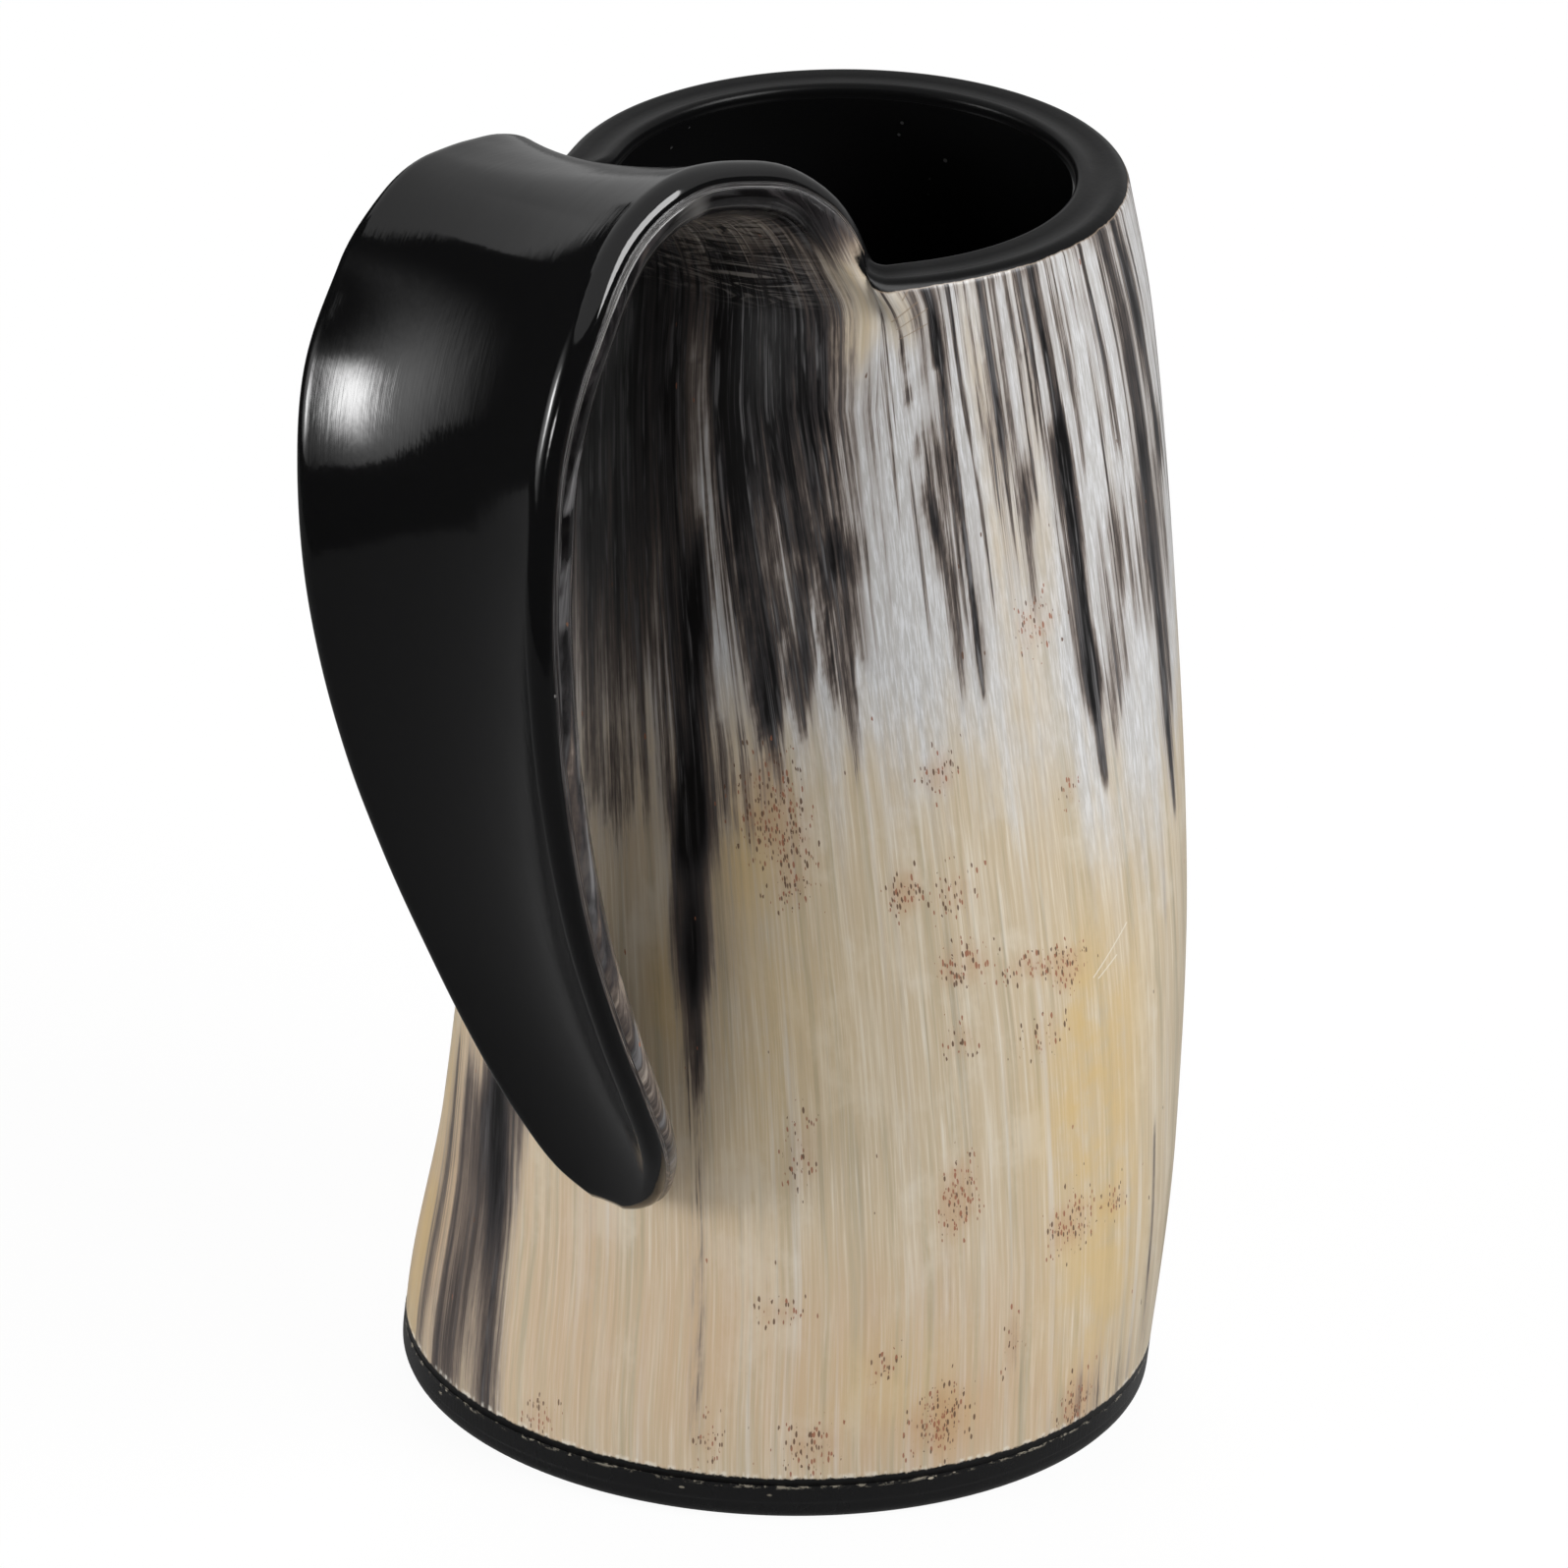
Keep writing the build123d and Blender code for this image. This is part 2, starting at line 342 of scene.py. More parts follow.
@dataclass(frozen=True)
class Patch:
    """Flat-topped patch: the bearing and height of its middle, its half sizes and its strength."""

    bearing: float
    height: float
    half_bearing: float
    half_height: float
    strength: float
    lean: float = 0.0

    def field(self, bearing: Array, height: Array) -> Array:
        """Value exp(-(u^2 + v^2)^1.5), where u and v are shares of the half sizes."""
        away = bearing + self.lean * (height - self.height) - self.bearing
        u, v = ((away + 180.0) % 360.0 - 180.0) / self.half_bearing, (height - self.height) / self.half_height
        return self.strength * np.exp(-((u * u + v * v) ** 1.5))


def streaks(*rows: tuple) -> tuple[Streak, ...]:
    """Streaks from rows of their values."""
    return tuple(Streak(*row) for row in rows)


def patches(*rows: tuple[float, ...]) -> tuple[Patch, ...]:
    """Patches from rows of their values."""
    return tuple(Patch(*row) for row in rows)


def total(shapes: tuple[Streak | Patch, ...], bearing: Array, height: Array) -> Array:
    """Adds up the fields of streaks or patches."""
    return sum((shape.field(bearing, height) for shape in shapes), np.zeros_like(bearing))


@dataclass(frozen=True)
class HornPattern:
    """Where the horn is dark, pale, warm, flecked or smooth. Bearings are in degrees from the handle.

    Dark streaks aren't ragged where it is calm, and thin strands are missing where it is bare or creamy.
    """

    fibre_slope: float = 0.17
    fibre_height: float = 75.0
    seed: int = 7
    hidden_streaks: int = 34
    hidden_patches: int = 12
    veil: float = 0.08
    streaks: tuple[Streak, ...] = streaks(
        # Beside the strap: a long black streak, and the one that bounds the charcoal patch
        (((13.5, 118.0), (14.4, 98.0), (15.0, 84.0)), 2.5, 1.05, 6.0),
        (((14.9, 92.0), (15.6, 78.0), (16.3, 66.0)), 2.3, 0.95, 6.0),
        (((16.0, 74.0), (16.8, 62.0), (17.6, 52.0)), 1.5, 0.62, 8.0),
        (((12.2, 92.0), (13.0, 76.0), (13.8, 64.0)), 0.6, 0.40, 7.0),
        (((16.5, 150.0), (19.5, 132.0), (22.5, 120.0), (26.0, 110.0), (28.6, 101.0)), 2.1, 0.95, 4.0),
        (((10.5, 143.0), (14.0, 130.0), (17.5, 112.0), (19.5, 98.0)), 1.3, -0.46, 5.0),
        (((-1.0, 150.0), (0.0, 120.0), (1.5, 88.0)), 1.2, -0.16, 5.0),
        (((-6.5, 130.0), (-5.0, 112.0), (-3.5, 90.0)), 1.0, -0.22, 5.0),
        (((5.0, 120.0), (6.0, 104.0), (7.0, 86.0)), 0.9, -0.20, 5.0),
        # Lower end of the charcoal patch: dark and white wisps
        (((28.0, 104.0), (31.0, 93.0)), 1.0, 0.55, 3.0),
        (((33.5, 116.0), (34.6, 100.0)), 0.8, 0.42, 4.0),
        (((37.0, 116.0), (40.0, 103.0)), 0.9, 0.48, 3.5),
        (((40.5, 120.0), (43.5, 107.0)), 1.2, 0.50, 3.0),
        (((42.5, 106.0), (44.0, 94.0)), 0.6, 0.34, 3.5),
        (((30.5, 108.0), (31.5, 96.0)), 0.55, -0.62, 3.0),
        (((35.4, 113.0), (38.2, 98.0)), 0.75, -0.60, 3.0),
        (((42.6, 112.0), (45.6, 98.0)), 0.6, -0.45, 3.0),
        # Thin pair at the front
        (((49.6, 150.0), (50.2, 146.0), (55.0, 131.0), (60.0, 116.0), (62.0, 103.0)), 0.55, 0.52, 6.0),
        (((56.4, 150.0), (57.2, 145.0), (58.2, 140.0)), 1.15, 0.80, 3.0),
        (((57.6, 146.0), (59.5, 134.0), (61.8, 123.0), (64.2, 112.0), (65.4, 102.0)), 0.75, 0.85, 4.0),
        (((57.0, 134.0), (60.5, 121.0), (62.4, 110.0)), 0.8, 0.40, 5.0),
        (((53.0, 150.0), (56.0, 138.0)), 0.5, 0.22, 4.0),
        (((44.0, 140.0), (48.0, 122.0), (50.0, 100.0)), 0.5, 0.16, 6.0),
        # Faint ones between them and the next black streak
        (((66.8, 150.0), (68.5, 140.0), (71.0, 127.0)), 0.5, 0.30),
        (((69.6, 150.0), (71.5, 139.0), (74.6, 122.0), (76.0, 112.0)), 0.55, 0.36),
        (((72.6, 150.0), (75.0, 139.0), (77.4, 129.0)), 0.6, 0.42),
        (((75.5, 150.0), (78.0, 138.0), (79.2, 130.0)), 0.5, 0.30),
        # Black streak at the right with its ragged patches
        (((79.4, 150.0), (80.5, 143.0), (82.8, 132.0), (84.2, 124.0)), 0.85, 1.00, 3.0),
        (((83.4, 130.0), (85.4, 118.0), (86.6, 108.0), (88.2, 97.0)), 1.45, 1.10, 4.0),
        (((88.0, 104.0), (89.0, 94.0), (90.5, 87.0)), 0.9, 0.55, 3.5),
        (((80.4, 132.0), (82.6, 120.0)), 0.6, 0.40, 3.0),
        (((86.6, 140.0), (88.0, 133.0), (88.6, 126.0)), 0.5, 0.35, 3.0),
        (((92.0, 150.0), (94.0, 137.0), (95.0, 126.0)), 0.6, 0.34, 4.0),
        (((96.0, 122.0), (97.5, 108.0)), 0.6, 0.42, 4.0),
        (((102.6, 150.0), (104.6, 141.0), (106.6, 130.0), (108.0, 118.0)), 1.5, 0.95, 5.0),
        (((108.0, 122.0), (109.5, 104.0), (111.5, 88.0), (113.0, 78.0)), 1.2, 0.62, 5.0),
        (((108.6, 150.0), (111.0, 141.0), (114.0, 131.0), (117.0, 121.0)), 1.2, 0.85, 4.0),
        (((99.0, 120.0), (101.0, 100.0)), 0.5, 0.28, 4.0),
        (((106.0, 80.0), (108.0, 62.0)), 0.6, 0.24, 4.0),
        (((106.0, 40.0), (109.5, 20.0), (113.0, 6.0)), 0.7, 0.30, 4.0),
        # Lower left, behind the end of the strap: the horn's streaks there, made darker and wider as partly painted
        # shade under the strap's end
        (((-25.0, 46.0), (-20.5, 30.0), (-18.0, 20.0), (-16.2, 12.0), (-15.0, 4.0)), 2.5, 0.74, 3.0),
        (((-30.0, 42.0), (-27.5, 25.0), (-26.0, 4.0)), 3.0, 0.34, 3.0),
        (((-35.0, 44.0), (-32.2, 24.0), (-30.0, 4.0)), 1.3, 0.34, 3.0),
        (((-42.0, 44.0), (-40.0, 25.0), (-38.0, 4.0)), 1.1, 0.26, 3.0),
        # Faint grey-green ones
        (((17.0, 64.0), (19.0, 46.0), (20.6, 34.0), (23.5, 20.0), (26.0, 8.0)), 1.1, 0.34, 8.0),
        (((13.0, 40.0), (16.0, 26.0), (18.0, 14.0)), 0.7, 0.12, 6.0),
        (((75.0, 25.0), (78.0, 15.0)), 0.7, 0.26, 3.0),
        (((36.5, 92.0), (38.5, 70.0), (41.0, 50.0)), 0.6, 0.12, 6.0),
        (((47.5, 84.0), (50.0, 60.0), (53.0, 38.0)), 0.5, 0.13, 6.0),
        (((63.0, 62.0), (66.0, 40.0), (69.5, 20.0)), 0.5, 0.12, 6.0),
    )
    dark_patches: tuple[Patch, ...] = patches(
        (-4.0, 134.0, 22.0, 44.0, 1.02), (28.4, 139.0, 11.2, 20.0, 0.98, 0.26), (37.5, 120.5, 7.0, 3.4, 0.50),
        (34.0, 108.0, 9.0, 9.5, 0.36), (76.0, 125.0, 1.8, 5.0, 0.36), (85.8, 142.5, 4.2, 6.0, 0.20),
        (93.6, 111.5, 4.6, 6.5, 0.34), (93.0, 99.0, 5.2, 6.5, 0.52), (113.0, 109.0, 6.0, 10.0, 0.40),
        (111.5, 92.0, 4.2, 9.0, 0.32), (117.0, 121.0, 3.2, 4.5, 0.50), (-2.0, 90.0, 9.0, 6.0, 0.22),
        (-36.0, 128.0, 16.0, 30.0, 0.85, 0.1), (100.0, 150.0, 70.0, 2.0, 0.12), (104.5, 110.0, 3.6, 9.0, 0.36),
        # The patches at bearing -22 (height 44), -25 (height 10) and -36 (height 30) are partly darker horn and partly
        # painted shade behind the strap's end
        (112.0, 140.0, 4.5, 9.0, 0.36), (55.5, 126.0, 3.2, 8.0, 0.20), (-22.0, 44.0, 7.5, 18.0, 0.50),
        (-25.0, 10.0, 5.5, 16.0, 0.24), (-36.0, 30.0, 11.0, 36.0, 0.26), (100.0, 12.0, 18.0, 13.0, 0.13),
        # The faint patch at bearing 25, height 70 is painted shade where the strap's shadow falls on the wall
        (96.0, 6.0, 11.0, 6.0, 0.17), (25.0, 70.0, 8.0, 24.0, 0.12), (34.0, 104.0, 7.0, 7.0, 0.20),
        (24.0, 92.0, 5.0, 8.0, 0.24),
    )
    flecks: tuple[Patch, ...] = patches(
        (28.0, 90.0, 6.0, 6.0, 0.75), (32.5, 85.0, 5.0, 5.0, 0.65), (33.0, 79.0, 4.0, 3.0, 0.5),
        (52.0, 79.0, 3.0, 3.0, 1.0), (60.5, 78.5, 5.0, 3.0, 0.5), (62.0, 69.5, 5.0, 2.8, 0.85),
        (74.0, 67.5, 5.5, 2.0, 0.75), (81.5, 66.0, 4.0, 3.0, 0.8), (58.0, 93.0, 3.5, 3.0, 0.7),
        (75.5, 108.5, 5.0, 3.5, 0.6), (62.0, 60.0, 3.5, 2.5, 0.6), (77.0, 58.5, 5.0, 3.0, 0.45),
        (37.0, 47.0, 3.5, 6.0, 0.55), (63.5, 40.5, 3.4, 5.0, 1.0), (84.5, 33.0, 5.0, 4.0, 0.85),
        (94.5, 33.5, 4.0, 2.0, 0.6), (36.0, 27.0, 4.0, 2.0, 0.6), (65.0, 12.0, 5.5, 4.5, 0.95),
        (45.0, 10.0, 4.5, 3.5, 0.7), (54.0, 20.0, 2.5, 2.0, 0.7), (76.0, 20.0, 1.8, 4.5, 0.6),
        (91.0, 8.5, 3.5, 4.5, 0.9), (28.0, 10.0, 3.0, 5.0, 0.45), (-3.0, 8.0, 4.0, 3.0, 0.5),
        (82.0, 87.5, 2.0, 2.0, 0.5), (160.0, 58.0, 9.0, 3.0, 0.8), (205.0, 34.0, 7.0, 4.0, 0.8),
        (244.0, 74.0, 8.0, 3.0, 0.8), (290.0, 22.0, 7.0, 3.5, 0.7), (182.0, 14.0, 6.0, 4.0, 0.8),
        (266.0, 48.0, 5.0, 4.0, 0.6),
    )
    amber: tuple[Patch, ...] = patches(
        (88.0, 52.0, 12.0, 20.0, 0.85), (94.0, 26.0, 12.0, 16.0, 0.75), (84.0, 55.0, 4.0, 12.0, 0.35),
        (27.0, 66.0, 9.0, 24.0, 0.26), (66.0, 12.0, 5.0, 4.0, 0.45), (56.0, 18.0, 12.0, 7.0, 0.45),
        (36.0, 60.0, 12.0, 16.0, 0.22), (24.0, 85.0, 6.0, 10.0, 0.65), (12.0, 64.0, 5.0, 9.0, 0.60),
        (-44.0, 22.0, 7.0, 26.0, 0.9), (175.0, 40.0, 34.0, 24.0, 0.6), (250.0, 30.0, 30.0, 22.0, 0.6),
    )
    rosy: tuple[Patch, ...] = patches(
        (52.0, 20.0, 30.0, 14.0, 0.55), (66.0, 11.0, 7.0, 5.0, 0.40), (92.0, 9.0, 5.0, 6.0, 0.50),
        (74.0, 9.0, 26.0, 8.0, 0.40), (2.0, 22.0, 34.0, 22.0, 0.55), (-34.0, 30.0, 14.0, 26.0, 0.50),
        (76.0, 28.0, 5.0, 14.0, 0.20), (63.5, 40.5, 4.5, 6.0, 0.30), (210.0, 20.0, 34.0, 14.0, 0.5),
        (300.0, 20.0, 30.0, 14.0, 0.5),
    )
    creamy: tuple[Patch, ...] = patches(
        (67.0, 137.0, 3.6, 22.0, 0.50, 0.17), (72.0, 112.0, 6.5, 16.0, 0.46, 0.12),
        (77.0, 130.0, 2.4, 30.0, 0.38, 0.15), (39.5, 147.0, 5.5, 9.0, 0.8), (52.0, 147.0, 5.0, 5.0, 0.55),
        (92.0, 90.0, 3.0, 6.0, 0.3),
    )
    calm: tuple[Patch, ...] = patches(
        (15.5, 74.0, 7.0, 22.0, 0.75), (-4.0, 134.0, 20.0, 42.0, 0.50), (-26.0, 20.0, 22.0, 40.0, 0.60),
    )
    bare: tuple[Patch, ...] = patches(
        (47.0, 122.0, 6.5, 26.0, 0.75, 0.20), (66.0, 104.0, 9.0, 12.0, 0.60), (88.0, 126.0, 3.5, 14.0, 0.55),
    )

    def fibre_bearing(self, bearing: Array, height: Array) -> Array:
        """Bearing at which the fibre through a point crosses the middle height, in degrees."""
        level = np.minimum(height, 150.0)
        steeper = 0.10 * np.maximum(level - 95.0, 0.0) * np.exp(-(((bearing - 25.0) / 14.0) ** 2))
        return bearing + self.fibre_slope * (level - self.fibre_height) + steeper

    def _hidden(self) -> tuple[Streak | Patch, ...]:
        """Streaks and patches for the sides that face away, of the same kinds as those in front."""
        chance = np.random.default_rng(self.seed)
        shapes: list[Streak | Patch] = []
        for _ in range(self.hidden_streaks):
            top, bottom = float(chance.uniform(126.0, 318.0)), float(chance.uniform(84.0, 118.0))
            half, strength = float(chance.choice([0.6, 0.9, 1.4, 2.2])), float(chance.uniform(0.35, 1.1))
            start = float(chance.choice([150.0, 150.0, 132.0]))
            shapes.append(Streak(((top, start), (top + 0.17 * (start - bottom), bottom)), half, strength))
        for _ in range(self.hidden_patches):
            middle, level = float(chance.uniform(130.0, 316.0)), float(chance.uniform(96.0, 140.0))
            half, tall, strength = (float(chance.uniform(*span)) for span in ((4.0, 11.0), (6.0, 16.0), (0.3, 0.8)))
            shapes.append(Patch(middle, level, half, tall, strength, 0.17))
        return tuple(shapes)

    def masks(self, bearing: Array, height: Array) -> dict[Mask, Array]:
        """Values of the wall's outside at bearings (degrees) and heights (mm)."""
        fibre = np.radians(self.fibre_bearing(bearing, height))
        ragged = 1.6 * np.sin(23.0 * fibre + 1.0) + 1.3 * np.sin(57.0 * fibre) + 1.0 * np.sin(101.0 * fibre + 2.0)
        level = np.where(height < 140.0, height + ragged * smooth_step(60.0, 84.0, height), height)
        # Dark field: mostly the horn's own streaks and patches, with a little painted shade where the strap shades the
        # wall
        dark = total(self.streaks + self.dark_patches + self._hidden(), bearing, level)
        dark = dark + self.veil * smooth_step(84.0, 118.0, level)
        away = np.abs((bearing + 180.0) % 360.0 - 180.0)
        # Round bearing 100 the pale reaches lower: partly the horn's pale top, partly a painted reflection of the white
        # surroundings
        sheen_dip, rise = np.exp(-(((bearing - 100.0) / 16.0) ** 2)), np.exp(-(((away - 20.0) / 18.0) ** 2))
        edge = 96.0 - 18.0 * sheen_dip + 5.0 * rise + 2.0 * ragged
        creamy = total(self.creamy, bearing, height)
        high = smooth_step(-22.0, 20.0, level - edge)
        open_share = np.clip(1.0 - 0.6 * creamy - total(self.bare, bearing, height), 0.0, 1.0)
        return {
            Mask.PIGMENT: np.clip(dark, 0.0, 1.7),
            Mask.PALE: np.clip(high - creamy, 0.0, 1.0),
            Mask.AMBER: np.clip(total(self.amber, bearing, height), 0.0, 1.0),
            Mask.ROSY: np.clip(total(self.rosy, bearing, height), 0.0, 1.0),
            Mask.FLECK: np.clip(total(self.flecks, bearing, height), 0.0, 1.0),
            Mask.STRANDS: smooth_step(92.0, 128.0, level - 3.0 * ragged) * open_share,
            Mask.RAGGED: np.clip(1.0 - total(self.calm, bearing, height), 0.0, 1.0),
        }


@dataclass
class Sheet:
    """A patch of the skin: points on a grid, with the place of each on the unrolled horn."""

    points: Array
    bearing: Array
    height: Array
    depth: Array
    edge: Array

    def part(self, rows: slice | Array, columns: slice | Array) -> "Sheet":
        """The same patch cut down to some rows and columns."""
        pick = [getattr(self, name)[rows][:, columns] for name in ("points", "bearing", "height", "depth", "edge")]
        return Sheet(*pick)


class Skin:
    """Collects grids of points into one closed mesh, with values at its points."""

    def __init__(self) -> None:
        """Starts with no grids."""
        self.grids: list[Sheet] = []

    def add(self, grid: Sheet) -> None:
        """Adds a grid; each square of it becomes a face."""
        self.grids.append(grid)

    def weld(self, tolerance: float = 2e-4) -> tuple[Array, Array, dict[str, Array]]:
        """Joins points that fall together.

        Args:
            tolerance: Distance in millimetres below which points count as one.

        Returns:
            Points, four-sided faces as point numbers, and the unrolled place of each point.
        """
        faces, count = [], 0
        for grid in self.grids:
            faces.append(count + grid_faces(*grid.bearing.shape))
            count += grid.bearing.size
        flat = np.vstack([grid.points.reshape(-1, 3) for grid in self.grids])
        cells = np.round(flat / tolerance).astype(np.int64)
        _, first, where = np.unique(cells, axis=0, return_index=True, return_inverse=True)
        where = where.reshape(-1)
        values = {
            name: np.concatenate([getattr(grid, name).reshape(-1) for grid in self.grids])[first]
            for name in ("bearing", "height", "depth", "edge")
        }
        joined = self._close_slits(flat[first], where[np.vstack(faces)])
        kept, numbers = np.unique(joined, return_inverse=True)
        return flat[first][kept], numbers.reshape(joined.shape), {name: value[kept] for name, value in values.items()}

    @staticmethod
    def _close_slits(points: Array, faces: Array, reach: float = 0.06) -> Array:
        """Joins the points of open edges that lie within a reach of each other, where grids meet at a rounded corner.

        Args:
            points: Points in millimetres.
            faces: Four point numbers for each face.
            reach: Widest slit that is closed, in millimetres.

        Returns:
            The faces with the joined numbers.
        """
        sides = np.sort(np.stack([faces, np.roll(faces, -1, 1)], -1).reshape(-1, 2), 1)
        pairs, uses = np.unique(sides, axis=0, return_counts=True)
        loose = np.unique(pairs[(uses == 1) & (pairs[:, 0] != pairs[:, 1])])
        gaps = np.linalg.norm(points[loose][:, None] - points[loose][None], axis=-1)
        joined = np.arange(len(points))
        joined[loose] = loose[np.argmax(gaps < reach, axis=1)]
        return joined[faces]


@dataclass
class HornCup:
    """The horn: the wall with its rim, and the strap handle in one piece with it."""

    wall: HornWall = HornWall()
    strap: StrapHandle = StrapHandle()
    pattern: HornPattern = HornPattern()
    corner_round: float = 2.6
    unrolled_radius: float = 33.0
    edge_round_share: float = 0.80
    blend_start: float = 142.0
    blend_end: float = 153.5
    flare_reach: float = 4.5
    strap_columns: int = 76
    front_columns: int = 136
    back_columns: int = 118
    front_share: float = 0.31
    wall_rows: int = 100
    bore_rows: int = 20
    rim_rows: int = 22
    strap_rows: int = 156
    corner_steps: tuple[float, ...] = (0.0, 0.04, 0.15, 0.35, 0.65, 1.05, 1.6, 2.2, 2.9, 3.7, 4.6)

    def __post_init__(self) -> None:
        """Works out the centre line and the angle that the strap's root covers."""
        self.line_points, self.line_lengths = self.strap.line()
        self.base = self.wall.rim_height - self.strap.root_drop
        self.length = float(self.line_lengths[-1])
        self.root_radius = float(self.wall.middle(self.base)[2])
        self.root_bearing = float(self.half_extent(np.array([0.0]))[0]) / self.root_radius

    def _section(self, run: Array) -> tuple[Array, Array, Array, Array, Array]:
        """Place on the centre line, direction along it, width, hollow and thickness at a run along the strap."""
        place = np.stack([np.interp(run, self.line_lengths, self.line_points[:, k]) for k in (0, 1)], -1)
        step = 0.25
        ahead = np.stack([np.interp(run + step, self.line_lengths, self.line_points[:, k]) for k in (0, 1)], -1)
        behind = np.stack([np.interp(run - step, self.line_lengths, self.line_points[:, k]) for k in (0, 1)], -1)
        width, hollow, thickness = self.strap.sizes(np.clip(run / self.length, 0.0, 1.0), place[..., 1])
        return place, unit(ahead - behind), width, hollow, thickness

    def half_extent(self, run: Array) -> Array:
        """Distance round the section's arc from its middle to the outside of its rounded edge."""
        _, _, width, hollow, thickness = self._section(run)
        radius = (width * width / 4 + hollow * hollow) / (2 * hollow)
        return radius * np.arcsin(width / 2 / radius) + thickness / 2

    def strap_sheet(self, run: Array, across: Array) -> tuple[Array, Array, Array]:
        """Middle of the strap's thickness, direction out through its underside and half its thickness.

        The section is an arc: at a distance q round it the point is (R sin(q/R), R - R cos(q/R)), in a plane square
        to the centre line that is turned by the twist and shifted sideways by the sway.
        """
        place, heading, width, hollow, thickness = self._section(run)
        table = np.array(self.strap.rows)
        share = np.clip(run / self.length, 0.0, 1.0)
        sway = SmoothTable(table[:, 0], table[:, 4])(share) * self.strap.sway
        turn = np.radians(SmoothTable(table[:, 0], table[:, 5])(share) * self.strap.twist)
        radius = (width * width / 4 + hollow * hollow) / (2 * hollow)
        zero = np.zeros_like(run)
        sideways = np.stack([zero, zero + 1.0, zero], -1)
        inward = np.stack([-heading[..., 1], zero, heading[..., 0]], -1)
        x_dir = sideways * np.cos(turn)[..., None] + inward * np.sin(turn)[..., None]
        y_dir = inward * np.cos(turn)[..., None] - sideways * np.sin(turn)[..., None]
        angle = across / radius
        start = np.stack([place[..., 0], self.wall.centre(1.0)[1] + sway, place[..., 1]], -1)
        sunk = y_dir * (radius - radius * np.cos(angle))[..., None]
        middle = start + x_dir * (radius * np.sin(angle))[..., None] + sunk
        normal = x_dir * np.sin(angle)[..., None] - y_dir * np.cos(angle)[..., None]
        return middle, unit(normal), thickness / 2

    def _corner_distance(self, beyond: Array, height: Array) -> Array:
        """Distance to the edge of the sheet near a corner of the strap's root.

        The edge is the rim, then a quarter circle, then the strap's side.

        Args:
            beyond: Distance round the wall past the strap's side, negative on the strap.
            height: Height, or run along the strap from the foot.
        """
        small = self.corner_round
        top = self.wall.rim_height + small
        to_arc = np.hypot(beyond - small, height - top) - small
        return np.where(height >= top, -beyond, np.where(beyond >= small, self.wall.rim_height - height, to_arc))

    def _rim_line(self, beyond: Array) -> Array:
        """Height of the sheet's edge past the strap's side: the rim, lifted by the quarter circle at the corner."""
        small = self.corner_round
        inside = np.clip(small - beyond, 0.0, small)
        return self.wall.rim_height + small - np.sqrt(np.maximum(small * small - inside * inside, 0.0))

    def _faces(
        self, middle: Array, normal: Array, half: Array, edge: Array, rounds: dict[Side, Array]
    ) -> dict[Side, Array]:
        """Outer and inner points of the sheet: the half thickness falls along a quarter circle near the edge."""
        result = {}
        for side in Side:
            size = rounds[side]
            near = np.clip(size - np.clip(edge, 0.0, None), 0.0, size)
            offset = half - size + np.sqrt(np.maximum(size * size - near * near, 0.0))
            result[side] = middle + normal * (side.value * offset)[..., None]
        return result

    def build(self) -> Skin:
        """Builds the grids of the wall, the rim and the strap and the strips that close their edges."""
        wall, steps = self.wall, np.array(self.corner_steps)
        spread = np.linspace(-1.0, 1.0, self.strap_columns + 1)
        spread = 0.15 * spread + 0.85 * np.sin(spread * math.pi / 2)
        rows = np.linspace(0.0, 1.0, self.rim_rows + 1)
        rows = 0.12 * rows + 0.88 * np.sin(rows * math.pi / 2)
        top = wall.rim_height + self.corner_round
        strap_heights = self.base + rows * (top - self.base)
        way = np.linspace(0.0, 1.0, self.strap_rows + 1)[1:]
        way = 0.72 * way + 0.28 * (1 - np.cos(way * math.pi)) / 2
        heights = np.concatenate([strap_heights, top + way * (self.base + self.length - top)])

        # Strap grid, from the wall below the rim to the tip
        run = np.repeat((heights - self.base)[:, None], len(spread), 1)
        extent = self.half_extent(run)
        across = extent * spread
        bearing = np.broadcast_to(spread * self.root_bearing, run.shape)
        height = self.base + run
        blend = smooth_step(self.blend_start, self.blend_end, height)[..., None]
        wall_middle, wall_normal, wall_half = wall.sheet(bearing, height)
        strap_middle, strap_normal, strap_half = self.strap_sheet(run, across)
        middle = wall_middle * (1 - blend) + strap_middle * blend
        normal = unit(wall_normal * (1 - blend) + strap_normal * blend)
        half = wall_half * (1 - blend[..., 0]) + strap_half * blend[..., 0]
        slope = np.gradient(extent[:, 0], heights)[:, None]
        side_gap = self._corner_distance(np.abs(across) - extent, height)
        side_gap = np.where(height >= top, side_gap / np.sqrt(1 + slope * slope), side_gap)
        edge = np.minimum(side_gap, self.base + self.length - height)
        rounds = {side: self.edge_round_share * half for side in Side}
        faces = self._faces(middle, normal, half, edge, rounds)
        seen = np.degrees(across / self.root_radius)
        strap = {side: Sheet(faces[side], seen, height, np.full_like(height, side.value), edge) for side in Side}

